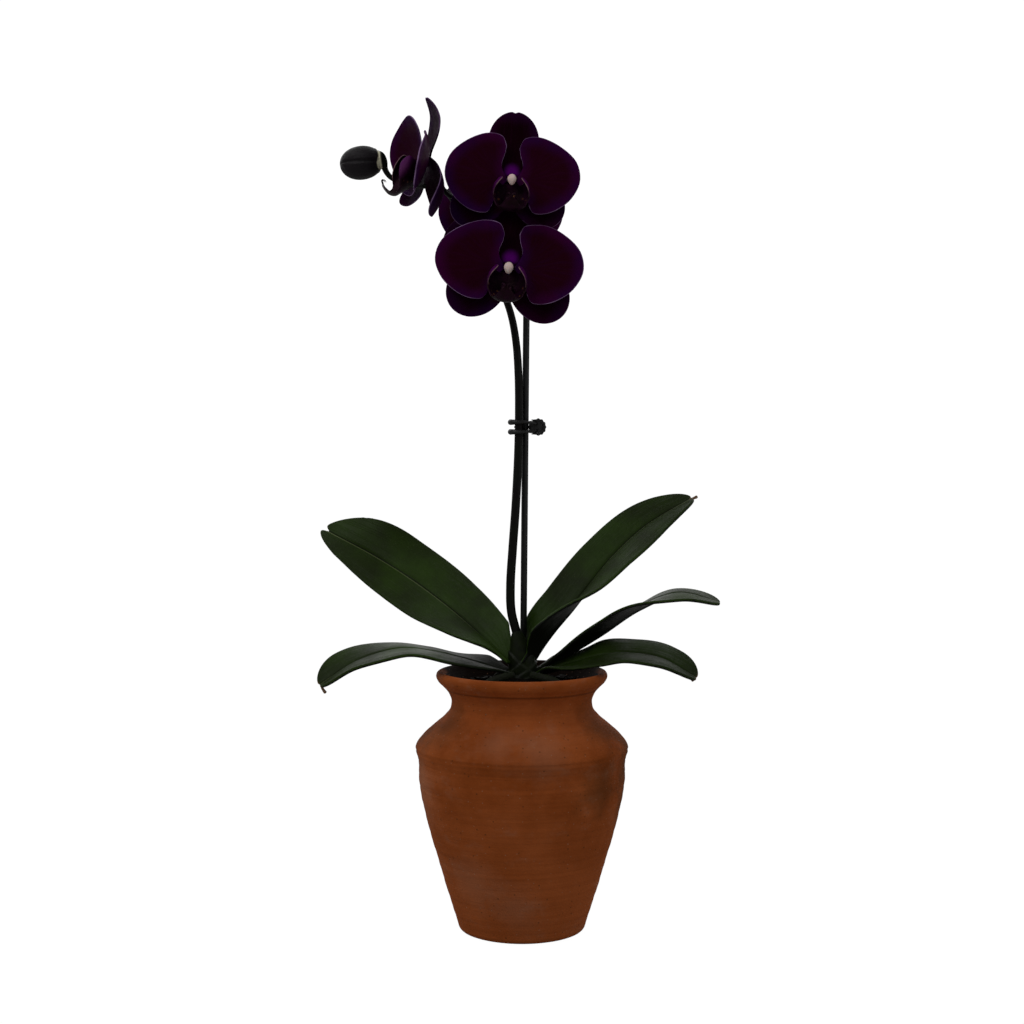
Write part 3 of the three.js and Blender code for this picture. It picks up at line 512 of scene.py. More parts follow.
class StageSettings(bpy.types.PropertyGroup):
    """The studio."""

    floor: colour_property("Floor", "Plain pale floor", 0xB8B8B6)
    dull_floor: colour_property("Dull floor", "Faint clouds on the floor", 0xA8A8A6)
    ambient: light_property("Ambient", "Strength of the light from all round", 0.22)
    backdrop: light_property("Backdrop", "Strength of the white wall behind", 0.8)
    key: light_property("Key light", "Large soft light, upper left", 9, "POWER")
    fill: light_property("Fill light", "Weak soft light, right", 2.5, "POWER")


def track(rows, share):
    """Values between rows spaced evenly over shares 0 to 1, on a uniform Catmull-Rom curve through them."""
    rows = np.asarray(rows, float)
    place = np.clip(share, 0, 1) * (len(rows) - 1)
    i = np.minimum(np.floor(place).astype(int), len(rows) - 2)
    t = place - i
    a, b, c, d = (rows[np.clip(i + k, 0, len(rows) - 1)] for k in (-1, 0, 1, 2))
    t = t.reshape(t.shape + (1,) * (b.ndim - t.ndim))
    return b + 0.5 * t * (c - a + t * (2 * a - 5 * b + 4 * c - d + t * (3 * (b - c) + d - a)))


def route(points, share, steps=40):
    """Points at shares of the length of a centripetal Catmull-Rom curve through the given points. Each
    stretch is a cubic whose end slopes weigh the neighbouring chords by the roots of their lengths."""
    p = np.asarray(points, float)
    p = np.vstack([2 * p[0] - p[1], p, 2 * p[-1] - p[-2]])
    gap = np.sqrt(np.linalg.norm(np.diff(p, axis=0), axis=1))[:, None, None]
    before, here, after = gap[:-2], gap[1:-1], gap[2:]
    a, b, c, d = (p[k:len(p) - 3 + k, None] for k in range(4))
    start = ((b - a) / before - (c - a) / (before + here) + (c - b) / here) * here
    end = ((c - b) / here - (d - b) / (here + after) + (d - c) / after) * here
    t = np.linspace(0, 1, steps, endpoint=False)[None, :, None]
    curve = b + start * t + (3 * (c - b) - 2 * start - end) * t ** 2 + (2 * (b - c) + start + end) * t ** 3
    curve = np.vstack([curve.reshape(-1, p.shape[1]), p[-2]])
    length = np.r_[0, np.cumsum(np.linalg.norm(np.diff(curve, axis=0), axis=1))]
    return spread_by(np.asarray(share) * length[-1], length, curve)


def spread_by(where, places, rows):
    """Rows read at other places by straight interpolation, one column at a time."""
    return np.stack([np.interp(where, places, rows[:, k]) for k in range(rows.shape[1])], -1)


def unit(vectors):
    """Vectors scaled to length 1. A vector without length stays."""
    length = np.linalg.norm(vectors, axis=-1, keepdims=True)
    return vectors / np.where(length > 1e-9, length, 1)


def graded(count):
    """Shares from 0 to 1, packed towards both ends as half a cosine wave."""
    return (1 - np.cos(np.linspace(0, np.pi, count))) / 2


def graded_halves(count):
    """Places from -1 to 1, packed towards both ends and the middle."""
    half = graded(count)
    return np.r_[-half[::-1], half[1:]]


def step_up(value, low, high):
    """0 below low, 1 above high, and a smooth cubic between."""
    t = np.clip((value - low) / (high - low), 0, 1)
    return t * t * (3 - 2 * t)


def bell(value, width):
    """A bell curve of height 1: e to the minus square of value over width."""
    return np.exp(-(value / width) ** 2)


def patch(grid, closed=False, **values):
    """A grid of points as a mesh part: points, four-cornered faces, a UV pair for each corner (row share,
    column share), and a value of each kind for each point."""
    rows, columns = grid.shape[:2]
    i, j = np.meshgrid(np.arange(rows - 1), np.arange(columns - (not closed)), indexing="ij")
    row = np.stack([i, i, i + 1, i + 1], -1).reshape(-1, 4)
    column = np.stack([j, j + 1, j + 1, j], -1).reshape(-1, 4)
    return {
        "points": grid.reshape(-1, 3),
        "faces": row * columns + column % columns,
        "uv": np.stack([row / (rows - 1), column / (columns - (not closed))], -1),
        "values": {k: np.broadcast_to(v, grid.shape[:2]).ravel() for k, v in values.items()},
    }


def merged(parts):
    """Several mesh parts as one. A value that a part doesn't have is 0 there."""
    start = np.cumsum([0] + [len(p["points"]) for p in parts])
    return {
        "points": np.vstack([p["points"] for p in parts]),
        "faces": np.vstack([p["faces"] + s for p, s in zip(parts, start)]),
        "uv": np.vstack([p["uv"] for p in parts]),
        "values": {
            k: np.concatenate([p["values"].get(k, np.zeros(len(p["points"]))) for p in parts])
            for k in POINT_VALUES
        },
    }


def flipped(part):
    """A part with its faces turned over."""
    part["faces"] = part["faces"][:, ::-1]
    part["uv"] = part["uv"][:, ::-1]
    return part


def outward(part):
    """A closed part with its faces turned out: they are reversed if the volume, the sum over its
    triangles of the corners' triple product, is negative."""
    a, b, c, d = (part["points"][part["faces"][:, k]] for k in range(4))
    volume = np.sum(a * np.cross(b, c)) + np.sum(a * np.cross(c, d))
    return flipped(part) if volume < 0 else part


def edge_distance(middle, with_start=False):
    """For each point of a blade, the shortest way in millimetres along the grid's lines to a free edge: the
    two sides and the far end, and the near end too if asked."""
    across = np.cumsum(np.linalg.norm(np.diff(middle, axis=1, prepend=middle[:, :1]), axis=2), axis=1)
    along = np.cumsum(np.linalg.norm(np.diff(middle, axis=0, prepend=middle[:1]), axis=2), axis=0)
    nearest = np.minimum(np.minimum(across, across[:, -1:] - across), along[-1:] - along)
    return np.minimum(nearest, along) if with_start else nearest


def shell(middle, thickness, front_relief=0, back_relief=0, up=2, **values):
    """A thin closed blade on both sides of a middle surface. Each face is the middle moved along its
    normal by half the thickness plus that face's relief, and both fall to nothing at the border as a
    half-round edge. Normals are weighed by area and averaged with their neighbours' at 1 to 2 to 1. The
    front is the side that faces along the axis of the given number."""
    normal = np.cross(np.gradient(middle, axis=0), np.gradient(middle, axis=1))
    for _ in range(2):
        normal = np.pad(normal, ((1, 1), (1, 1), (0, 0)), "edge")
        normal = normal[2:] + 2 * normal[1:-1] + normal[:-2]
        normal = normal[:, 2:] + 2 * normal[:, 1:-1] + normal[:, :-2]
    normal = unit(normal) * (1 if normal[..., up].sum() > 0 else -1)
    depth = np.clip(edge_distance(middle, True) / (thickness / 2), 0, 1)
    profile = np.sqrt(1 - (1 - depth) ** 2)
    halves = []
    for front, relief in ((1.0, front_relief), (0.0, back_relief)):
        height = profile * (thickness / 2 + relief)
        half = patch(middle + (2 * front - 1) * normal * height[..., None], front=front, **values)
        halves.append(half if front else flipped(half))
    return outward(merged(halves))


def wrap(rings, **values):
    """A closed skin through rings of points, with a point in the middle of each end ring."""
    ends = [np.broadcast_to(ring.mean(0), ring.shape)[None] for ring in (rings[0], rings[-1])]
    filled = {
        k: np.pad(np.broadcast_to(v, rings.shape[:2]), ((1, 1), (0, 0)), "edge") for k, v in values.items()
    }
    return outward(patch(np.concatenate([ends[0], rings, ends[1]]), closed=True, **filled))


def circle(count):
    """Angles in radians, evenly spaced once round a circle."""
    return 2 * np.pi * np.arange(count) / count


def turned(profile, around, bulge=0):
    """A closed profile of radius and height turned about Z. The bulge is added to the radius."""
    angle = circle(around)
    profile = np.asarray(profile, float)
    radius = profile[:, :1] + bulge
    return wrap(np.stack([radius * np.cos(angle), radius * np.sin(angle), profile[:, 1:] + 0 * angle], -1))


def square_frame(line):
    """The direction of a path at each point, and two directions square to it, the second one nearest to the
    direction in which the path spreads least."""
    forward = unit(np.gradient(line, axis=0))
    flat = np.linalg.svd(line - line.mean(0))[2][2]
    side = unit(np.cross(flat, forward))
    return forward, side, np.cross(forward, side)


def tube(points, radii, steps=40, around=12, dome=0.7, swell=None):
    """A round stem carried along a path, with its radii read from end to end. Each end is half an
    ellipsoid: its rings shrink as a sine while they move out as a cosine. swell(share) scales radii."""
    share = np.linspace(0, 1, steps)
    line = route(points, share)
    radius = track(radii, share)
    if swell is not None:
        radius = radius * swell(share)
    forward, side, up = square_frame(line)
    turn = np.linspace(0, np.pi / 2, 5)[:-1]
    caps = []
    for k, sign in ((0, -1), (-1, 1)):
        centre = line[k] + sign * dome * radius[k] * forward[k] * np.cos(turn)[:, None]
        frames = [np.broadcast_to(v[k], centre.shape) for v in (side, up)]
        caps.append([centre, radius[k] * np.sin(turn), *frames])
    first, last = caps
    centre, radius, side, up = (
        np.concatenate([a, b, c[::-1]]) for a, b, c in zip(first, (line, radius, side, up), last)
    )
    angle = circle(around)
    ring = np.cos(angle)[:, None] * side[:, None] + np.sin(angle)[:, None] * up[:, None]
    return wrap(centre[:, None] + radius[:, None, None] * ring, heart=np.linspace(0, 1, len(centre))[:, None])


def moved(part, matrix=np.eye(3), shift=(0, 0, 0)):
    """A part turned by a 3 by 3 matrix and then shifted. A matrix that mirrors turns the faces over."""
    part["points"] = part["points"] @ matrix.T + np.asarray(shift)
    return flipped(part) if np.linalg.det(matrix) < 0 else part


def marked(part, **values):
    """A part with one value of each given kind at all its points."""
    for key, value in values.items():
        part["values"][key] = np.full(len(part["points"]), float(value))
    return part


def turn_matrix(axis, degrees):
    """Rotation about X (0), Y (1) or Z (2)."""
    c, s = math.cos(math.radians(degrees)), math.sin(math.radians(degrees))
    i, j = [k for k in range(3) if k != axis]
    matrix = np.eye(3)
    sign = -1 if axis == 1 else 1
    matrix[i, i] = matrix[j, j] = c
    matrix[i, j], matrix[j, i] = -sign * s, sign * s
    return matrix


def to_mesh(name, part, sharp_angle=None):
    """Puts a part into a mesh in metres, joins points that lie together, and shades it smooth, apart from
    edges sharper than the given angle in degrees."""
    mesh = bpy.data.meshes.new(name)
    mesh.from_pydata(part["points"] * MM, [], part["faces"].tolist())
    mesh.uv_layers.new(name="UVMap").data.foreach_set("uv", part["uv"].ravel())
    for key, values in part["values"].items():
        mesh.attributes.new(key, "FLOAT", "POINT").data.foreach_set("value", values.astype(np.float32))
    work = bmesh.new()
    work.from_mesh(mesh)
    bmesh.ops.remove_doubles(work, verts=work.verts, dist=JOIN_DISTANCE * MM)
    work.to_mesh(mesh)
    work.free()
    mesh.shade_smooth()
    if sharp_angle is not None:
        mesh.set_sharp_from_angle(angle=math.radians(sharp_angle))
    return mesh


def to_object(name, mesh):
    """An object at the origin, in the scene."""
    made = bpy.data.objects.new(name, mesh)
    bpy.context.scene.collection.objects.link(made)
    return made


def as_piece(name, mesh, look, body=PLANT):
    """A finished piece with its material, which replaces the model's node of the same name."""
    piece = to_object(name + "_finished", mesh)
    mesh.materials.clear()
    mesh.materials.append(bpy.data.materials[look])
    if body is not None:
        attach(piece, body)
    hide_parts(name)
    return piece


def made_piece(name, parts, look, body=PLANT, sharp_angle=None):
    """A piece made of one or more closed parts."""
    return as_piece(name, to_mesh(name, merged(parts), sharp_angle), look, body)


def combined(first, others, operation):
    """A mesh with others joined to it or cut from it, by Boolean modifiers."""
    base = to_object("work", first)
    tools = [to_object("tool", mesh) for mesh in others]
    for tool in tools:
        step = base.modifiers.new("Boolean", "BOOLEAN")
        step.operation = operation
        step.solver = "MANIFOLD"
        step.object = tool
    graph = bpy.context.evaluated_depsgraph_get()
    result = bpy.data.meshes.new_from_object(base.evaluated_get(graph))
    for used in (base, *tools):
        bpy.data.objects.remove(used)
    return result


class Tree:
    """A node tree that is filled by short calls. Most of them return the new node's main output."""

    def __init__(self, tree):
        self.tree = tree

    def add(self, kind, inputs=None, **settings):
        made = self.tree.nodes.new(kind)
        for key, value in settings.items():
            setattr(made, key, value)
        for key, value in (inputs or {}).items():
            self.feed(made, key, value)
        return made

    def feed(self, made, key, value):
        if isinstance(value, bpy.types.NodeSocket):
            self.tree.links.new(value, made.inputs[key])
        else:
            made.inputs[key].default_value = value

    def use(self, name, inputs):
        made = self.add("ShaderNodeGroup", node_tree=bpy.data.node_groups[name])
        for key, value in inputs.items():
            self.feed(made, key, value)
        return made.outputs[0]

    def place(self):
        return self.add("ShaderNodeTexCoord").outputs["Object"]

    def uv(self):
        return self.add("ShaderNodeUVMap", uv_map="UVMap").outputs[0]

    def value(self, name):
        return self.add("ShaderNodeAttribute", attribute_name=name).outputs["Fac"]

    def scaled(self, place, scale):
        return self.add("ShaderNodeMapping", {"Vector": place, "Scale": scale}).outputs[0]

    def noise(self, place, scale, detail=2.0, roughness=0.5):
        inputs = {"Vector": place, "Scale": scale, "Detail": detail, "Roughness": roughness}
        return self.add("ShaderNodeTexNoise", inputs).outputs["Fac"]

    def math(self, operation, first, second=0.0, third=0.0):
        return self.add("ShaderNodeMath", {0: first, 1: second, 2: third}, operation=operation).outputs[0]

    def ramp(self, value, low, high, start=0.0, end=1.0):
        inputs = {"Value": value, "From Min": low, "From Max": high, "To Min": start, "To Max": end}
        return self.add("ShaderNodeMapRange", inputs, interpolation_type="SMOOTHSTEP").outputs[0]

    def blend(self, share, first, second):
        inputs = {0: share, 6: first, 7: second}
        return self.add("ShaderNodeMix", inputs, data_type="RGBA").outputs[2]

    def bump(self, height, distance, strength=1.0):
        inputs = {"Height": height, "Distance": distance, "Strength": strength}
        return self.add("ShaderNodeBump", inputs).outputs[0]


def make_group(name, inputs, output, fill):
    """A shared node group. inputs: label, socket type and default. fill(tree, sockets) gives the output."""
    group = bpy.data.node_groups.new(name, "ShaderNodeTree")
    for label, kind, value in inputs:
        socket = group.interface.new_socket(label, in_out="INPUT", socket_type="NodeSocket" + kind)
        socket.default_value = value
    label, kind = output
    group.interface.new_socket(label, in_out="OUTPUT", socket_type="NodeSocket" + kind)
    tree = Tree(group)
    result = fill(tree, tree.add("NodeGroupInput").outputs)
    tree.add("NodeGroupOutput", {label: result})


def fill_mottle(tree, given):
    """Two colours mixed by soft cloudy noise."""
    cloud = tree.noise(given["Vector"], given["Scale"], 4.0, 0.6)
    half = tree.math("MULTIPLY", given["Softness"], 0.5)
    low = tree.math("SUBTRACT", 0.5, half)
    high = tree.math("ADD", 0.5, half)
    return tree.blend(tree.ramp(cloud, low, high), given["First"], given["Second"])


def fill_grain(tree, given):
    """Height of a fine skin: small cells with finer noise on them."""
    cells = tree.add("ShaderNodeTexVoronoi", {"Vector": given["Vector"], "Scale": given["Scale"]})
    fine = tree.noise(given["Vector"], tree.math("MULTIPLY", given["Scale"], 2.3), 3.0)
    return tree.math("ADD", cells.outputs["Distance"], fine)


def fill_rim(tree, given):
    """1 at a blade's edge, falling to 0 at the given width in millimetres."""
    return tree.ramp(tree.math("DIVIDE", given["Distance"], given["Width"]), 0.35, 1.0, 1.0, 0.0)


def fill_specks(tree, given):
    """Scattered small specks: the inner part of some cells."""
    cells = tree.add("ShaderNodeTexVoronoi", {"Vector": given["Vector"], "Scale": given["Scale"]})
    dot = tree.ramp(cells.outputs["Distance"], 0.1, 0.3, 1.0, 0.0)
    chosen = tree.add("ShaderNodeSeparateXYZ", {0: cells.outputs["Color"]}).outputs["X"]
    return tree.math("MULTIPLY", dot, tree.math("LESS_THAN", chosen, given["Share"]))


def fill_patch(tree, given):
    """A soft ragged spot round a centre on the surface."""
    away = tree.add("ShaderNodeVectorMath", {0: given["Vector"], 1: given["Centre"]}, operation="DISTANCE")
    ragged = tree.noise(given["Vector"], 90.0, 5.0, 0.65)
    reach = tree.math("MULTIPLY", given["Radius"], tree.math("MULTIPLY", ragged, 2.0))
    near = tree.math("DIVIDE", away.outputs["Value"], reach)
    return tree.ramp(near, 0.0, 1.0, 1.0, 0.0)


def fill_veins(tree, given):
    """Fine lines that run along the blade: noise stretched along the first UV direction."""
    along = tree.add("ShaderNodeVectorMath", {0: given["Vector"], 1: given["Stretch"]}, operation="MULTIPLY")
    return tree.ramp(tree.noise(along.outputs[0], 1.0, 3.0, 0.55), 0.42, 0.68)


def make_groups():
    """Builds every shared node group once."""
    vector, number, colour = "Vector", "Float", "Color"
    place = ("Vector", vector, (0, 0, 0))
    make_group("Mottle", [
        place, ("Scale", number, 40), ("Softness", number, 0.3),
        ("First", colour, (0, 0, 0, 1)), ("Second", colour, (1, 1, 1, 1)),
    ], ("Color", colour), fill_mottle)
    make_group("Skin Grain", [place, ("Scale", number, 1500)], ("Height", number), fill_grain)
    make_group("Rim", [("Distance", number, 1), ("Width", number, 0.5)], ("Mask", number), fill_rim)
    make_group("Specks", [
        place, ("Scale", number, 300), ("Share", number, 0.2),
    ], ("Mask", number), fill_specks)
    make_group("Patch", [
        place, ("Centre", vector, (0, 0, 0)), ("Radius", number, 0.01),
    ], ("Mask", number), fill_patch)
    make_group("Veins", [place, ("Stretch", vector, (2, 60, 1))], ("Mask", number), fill_veins)


def new_material(name, fixed):
    """A material with a Principled shader, its plain sockets set directly. Returns its tree and shader."""
    material = bpy.data.materials.new(name)
    material.use_nodes = True
    shader = material.node_tree.nodes["Principled BSDF"]
    for key, value in fixed.items():
        shader.inputs[key].default_value = value
    return Tree(material.node_tree), shader


def connect(tree, shader, colour, roughness, normal):
    """Feeds the shader's changing sockets."""
    for key, socket in (("Base Color", colour), ("Roughness", roughness), ("Normal", normal)):
        tree.feed(shader, key, socket)


def pot_surface_point(degrees, height):
    """The point in metres on the outside of the pot at an angle and a height."""
    outside = np.asarray(POT_OUTSIDE, float)
    radius = np.interp(height, outside[:, 1], outside[:, 0])
    angle = math.radians(degrees)
    return metres((radius * math.cos(angle), radius * math.sin(angle), height))


def clay_material(look):
    """Unglazed clay: cloudy brown and dark red-brown, cleaner low down, with fine level lines, chalky
    marks that are partly a painted highlight, grime marks that are partly painted shade, specks and pits, and
    painted shade, near black, inside the mouth and on the rear of the rim."""
    tree, shader = new_material("Terracotta", {"Specular IOR Level": 0.03})
    place = tree.place()
    level = tree.scaled(place, (14, 14, 700))
    colour = tree.use("Mottle", {
        "Vector": place, "Scale": 26.0, "Softness": 0.5, "First": look.dark_clay, "Second": look.clay,
    })
    apart = tree.add("ShaderNodeSeparateXYZ", {0: place}).outputs
    above_floor = apart["Z"]
    colour = tree.blend(tree.ramp(above_floor, *metres(CLEAN_HEIGHT), 0.6, 0.0), colour, look.clay)
    lines = tree.noise(level, 1.0, 3.0, 0.6)
    colour = tree.blend(tree.ramp(lines, 0.35, 0.8, 0.0, 0.3), colour, look.dark_clay)
    bloom = tree.ramp(tree.noise(tree.scaled(place, (1, 1, 1.6)), 38.0, 6.0, 0.7), 0.52, 0.85, 0.0, 0.5)
    colour = tree.blend(bloom, colour, look.chalk_and_highlight)
    # Chalk marks, partly a painted highlight on the shoulder, and grime marks, partly painted shade on the
    # sides
    kinds = ((CHALK_AND_HIGHLIGHT_MARKS, CHALK_AND_HIGHLIGHT_STRENGTH, look.chalk_and_highlight), (GRIME_AND_SHADE_MARKS, GRIME_AND_SHADE_STRENGTH, look.grime_and_shade))
    for marks, strength, shade in kinds:
        for degrees, height, radius in marks:
            mask = tree.use("Patch", {
                "Vector": place, "Centre": pot_surface_point(degrees, height), "Radius": radius * MM,
            })
            colour = tree.blend(tree.math("MULTIPLY", mask, strength), colour, shade)
    # Painted shade: near black inside the mouth and on the rear of the rim
    away = tree.add("ShaderNodeVectorMath", {0: tree.scaled(place, (1, 1, 0))}, operation="LENGTH")
    inside = tree.ramp(away.outputs["Value"], *metres(MOUTH_RADIUS), 1.0, 0.0)
    mouth = tree.math("MULTIPLY", inside, tree.ramp(above_floor, *metres(MOUTH_HEIGHT)))
    behind = tree.ramp(apart["Y"], *metres(REAR_PLACE))
    rear = tree.math("MULTIPLY", behind, tree.ramp(above_floor, *metres(REAR_HEIGHT)))
    damp_and_shade = tree.math("MAXIMUM", mouth, rear)
    colour = tree.blend(tree.math("MULTIPLY", damp_and_shade, 0.98), colour, look.damp_and_shade)
    dark_specks = tree.use("Specks", {"Vector": place, "Scale": 420.0, "Share": 0.12})
    colour = tree.blend(tree.math("MULTIPLY", dark_specks, 0.6), colour, look.grime_and_shade)
    pale_specks = tree.use("Specks", {"Vector": place, "Scale": 610.0, "Share": 0.07})
    colour = tree.blend(tree.math("MULTIPLY", pale_specks, 0.6), colour, look.chalk_and_highlight)
    grain = tree.use("Skin Grain", {"Vector": place, "Scale": 900.0})
    relief = tree.math("ADD", tree.math("MULTIPLY", grain, 0.35), tree.math("MULTIPLY", lines, 0.9))
    roughness = tree.ramp(bloom, 0.0, 0.5, 0.72, 0.95)
    connect(tree, shader, colour, roughness, tree.bump(relief, 0.0003))


def bark_material(look):
    """Bark chips: brown and near black by noise, fibres along, and pale crumbs where the mark is set."""
    tree, shader = new_material("Bark Mix", {"Specular IOR Level": 0.04})
    place = tree.place()
    colour = tree.use("Mottle", {
        "Vector": place, "Scale": 130.0, "Softness": 0.35, "First": look.damp_and_shade, "Second": look.bark,
    })
    colour = tree.blend(tree.value("mark"), colour, look.crumb)
    grain = tree.use("Skin Grain", {"Vector": tree.scaled(place, (1, 1, 2.5)), "Scale": 600.0})
    roughness = tree.ramp(tree.noise(place, 90.0), 0.3, 0.7, 0.65, 0.95)
    connect(tree, shader, colour, roughness, tree.bump(grain, 0.0006))


def leaf_material(look):
    """Leaf: mottled dark green, a near-black underside that is partly painted shade, painted shadow or a
    greener tint at its base, painted shade in the midrib's groove with a pale line beside it, greener at the
    margins, fine pale dust, and a dry tip."""
    tree, shader = new_material("Leaf", {"Specular IOR Level": 0.14})
    place = tree.place()
    colour = tree.use("Mottle", {
        "Vector": place, "Scale": 30.0, "Softness": 0.5, "First": look.blade, "Second": look.young,
    })
    near_edge = tree.ramp(tree.value("edge"), 0.0, 1.6, 0.5, 0.0)
    colour = tree.blend(near_edge, colour, look.young)
    rib = tree.value("rib")
    beside = tree.math("MULTIPLY", tree.ramp(rib, -1.9, -1.2), tree.ramp(rib, -1.0, -0.4, 1.0, 0.0))
    colour = tree.blend(tree.math("MULTIPLY", beside, 0.85), colour, look.rib)
    # Painted shade in the midrib's groove, in the underside's colour
    groove = tree.ramp(tree.math("ABSOLUTE", rib), 0.2, 0.9, 0.65, 0.0)
    colour = tree.blend(groove, colour, look.under)
    # The base: greener for a negative value, and darkened by painted shadow for a positive one
    colour = tree.blend(tree.math("MULTIPLY", tree.value("heart"), -0.85), colour, look.young)
    colour = tree.blend(tree.math("MULTIPLY", tree.value("heart"), 0.85), colour, look.under)
    dust = tree.use("Specks", {"Vector": place, "Scale": 900.0, "Share": 0.16})
    colour = tree.blend(tree.math("MULTIPLY", dust, 0.25), colour, look.rib)
    # The underside: its own dark colour, deepened to near black as painted shade
    colour = tree.blend(tree.ramp(tree.value("front"), 0.35, 0.65, 1.0, 0.0), colour, look.under)
    colour = tree.blend(tree.value("mark"), colour, look.dry)
    grain = tree.use("Skin Grain", {"Vector": place, "Scale": 1400.0})
    long_lines = tree.use("Veins", {"Vector": tree.uv()})
    relief = tree.math("ADD", tree.math("MULTIPLY", grain, 0.3), long_lines)
    roughness = tree.ramp(tree.noise(place, 55.0, 4.0), 0.3, 0.7, 0.38, 0.55)
    connect(tree, shader, colour, roughness, tree.bump(relief, 0.00012))


def stem_material(name, first, second, scale, roughness_range, bump_depth):
    """A stem's skin: two mottled colours, fine grain and faint lengthwise lines."""
    tree, shader = new_material(name, {"Specular IOR Level": 0.15})
    place = tree.place()
    colour = tree.use("Mottle", {
        "Vector": place, "Scale": scale, "Softness": 0.45, "First": first, "Second": second,
    })
    grain = tree.use("Skin Grain", {"Vector": tree.scaled(place, (1, 1, 0.3)), "Scale": 1300.0})
    low, high = roughness_range
    roughness = tree.ramp(tree.noise(place, 80.0), 0.3, 0.7, low, high)
    connect(tree, shader, colour, roughness, tree.bump(grain, bump_depth))


def root_material(look):
    """Aerial root: dull grey-green skin, mottled with the stem base's green, and a green tip."""
    tree, shader = new_material("Root", {"Specular IOR Level": 0.2})
    place = tree.place()
    colour = tree.use("Mottle", {
        "Vector": place, "Scale": 160.0, "Softness": 0.5, "First": look.root, "Second": look.sheath,
    })
    colour = tree.blend(tree.ramp(tree.value("heart"), 0.82, 0.95), colour, look.root_tip)
    grain = tree.use("Skin Grain", {"Vector": place, "Scale": 1100.0})
    roughness = tree.ramp(tree.noise(place, 120.0), 0.3, 0.7, 0.6, 0.85)
    connect(tree, shader, colour, roughness, tree.bump(grain, 0.0003))


def petal_material(name, look, heart, glow_reach, margin_share, rim_share):
    """Petal or sepal: near-black heart, violet or magenta towards the margins, partly a painted glow of light
    through them, a glow round the column, fine veins from the claw, a thin pale rim that comes and goes, which
    is a painted highlight along the edge, and velvety cells."""
    tree, shader = new_material(name, {
        "Specular IOR Level": 0.03, "Specular Tint": (0.7, 0.2, 0.55, 1),
        "Sheen Weight": 0.08, "Sheen Roughness": 0.4, "Sheen Tint": (0.5, 0.1, 0.65, 1),
    })
    place = tree.place()
    margin = tree.use("Mottle", {
        "Vector": place, "Scale": 34.0, "Softness": 0.3, "First": look.violet, "Second": look.magenta,
    })
    edge = tree.value("edge")
    cloud = tree.math("MULTIPLY_ADD", tree.noise(place, 60.0, 3.0), 6.0, -3.0)
    # The margins: partly their own violet and magenta, partly a painted glow of light through them
    inward = tree.ramp(tree.math("ADD", edge, cloud), 0.0, 9.0, margin_share, 0.0)
    colour = tree.blend(inward, heart, margin)
    veins = tree.use("Veins", {"Vector": tree.uv(), "Stretch": (2.5, 46, 1)})
    colour = tree.blend(tree.math("MULTIPLY", veins, 0.1), colour, margin)
    glow = tree.ramp(tree.value("heart"), glow_reach * 0.2, glow_reach, 0.8, 0.0)
    colour = tree.blend(glow, colour, look.glow)
    # Painted highlight: a pale line where the edge catches the light, stronger near the column
    rim = tree.use("Rim", {"Distance": edge, "Width": 0.45})
    strength = tree.ramp(tree.noise(place, 75.0), 0.35, 0.62, rim_share * 0.3, rim_share)
    strength = tree.math("MAXIMUM", strength, tree.ramp(tree.value("heart"), 5.0, 14.0, rim_share * 1.2, 0.0))
    colour = tree.blend(tree.math("MULTIPLY", rim, strength), colour, look.rim)
    grain = tree.use("Skin Grain", {"Vector": place, "Scale": 2400.0})
    relief = tree.math("MULTIPLY_ADD", veins, 0.6, grain)
    roughness = tree.ramp(tree.noise(place, 70.0), 0.3, 0.7, 0.5, 0.7)
    connect(tree, shader, colour, roughness, tree.bump(relief, 0.00009))


def lip_material(look):
    """Lip: near-black maroon, waxy, violet outside its lobes, a pale rim that is a painted highlight along the
    edge, and orange-brown flecks on and round the callus."""
    tree, shader = new_material("Lip", {"Specular IOR Level": 0.2, "Specular Tint": (0.8, 0.4, 0.5, 1)})
    place = tree.place()
    colour = tree.use("Mottle", {
        "Vector": place, "Scale": 220.0, "Softness": 0.4, "First": look.lip, "Second": look.magenta,
    })
    colour = tree.blend(0.8, colour, look.lip)
    outer = tree.ramp(tree.value("front"), 0.35, 0.65, 1.0, 0.0)
    outer = tree.math("MULTIPLY", outer, tree.value("rib"))
    colour = tree.blend(outer, colour, look.magenta)
    colour = tree.blend(tree.math("MULTIPLY", outer, 0.2), colour, look.glow)
    flecks = tree.use("Specks", {"Vector": place, "Scale": 340.0, "Share": 0.58})
    colour = tree.blend(tree.math("MULTIPLY", flecks, tree.value("mark")), colour, look.fleck)
    # Painted highlight: a pale line along the lip's edge
    rim = tree.use("Rim", {"Distance": tree.value("edge"), "Width": 0.2})
    strength = tree.ramp(tree.noise(place, 150.0), 0.35, 0.62, 0.2, 0.85)
    colour = tree.blend(tree.math("MULTIPLY", rim, strength), colour, look.lip_rim)
    grain = tree.use("Skin Grain", {"Vector": place, "Scale": 2000.0})
    roughness = tree.ramp(tree.noise(place, 200.0), 0.3, 0.7, 0.28, 0.45)
    connect(tree, shader, colour, roughness, tree.bump(grain, 0.0001))


def cap_material(look):
    """Anther cap: cream, waxy, faintly pink in cloudy patches."""
    tree, shader = new_material("Anther Cap", {
        "Specular IOR Level": 0.4, "Subsurface Weight": 0.15, "Subsurface Radius": (0.0012, 0.0006, 0.0004),
    })
    place = tree.place()
    colour = tree.use("Mottle", {
        "Vector": place, "Scale": 260.0, "Softness": 0.6, "First": look.cap, "Second": look.lip_rim,
    })
    colour = tree.blend(0.7, colour, look.cap)
    grain = tree.use("Skin Grain", {"Vector": place, "Scale": 2200.0})
    roughness = tree.ramp(tree.noise(place, 300.0), 0.3, 0.7, 0.35, 0.5)
    connect(tree, shader, colour, roughness, tree.bump(grain, 0.00008))


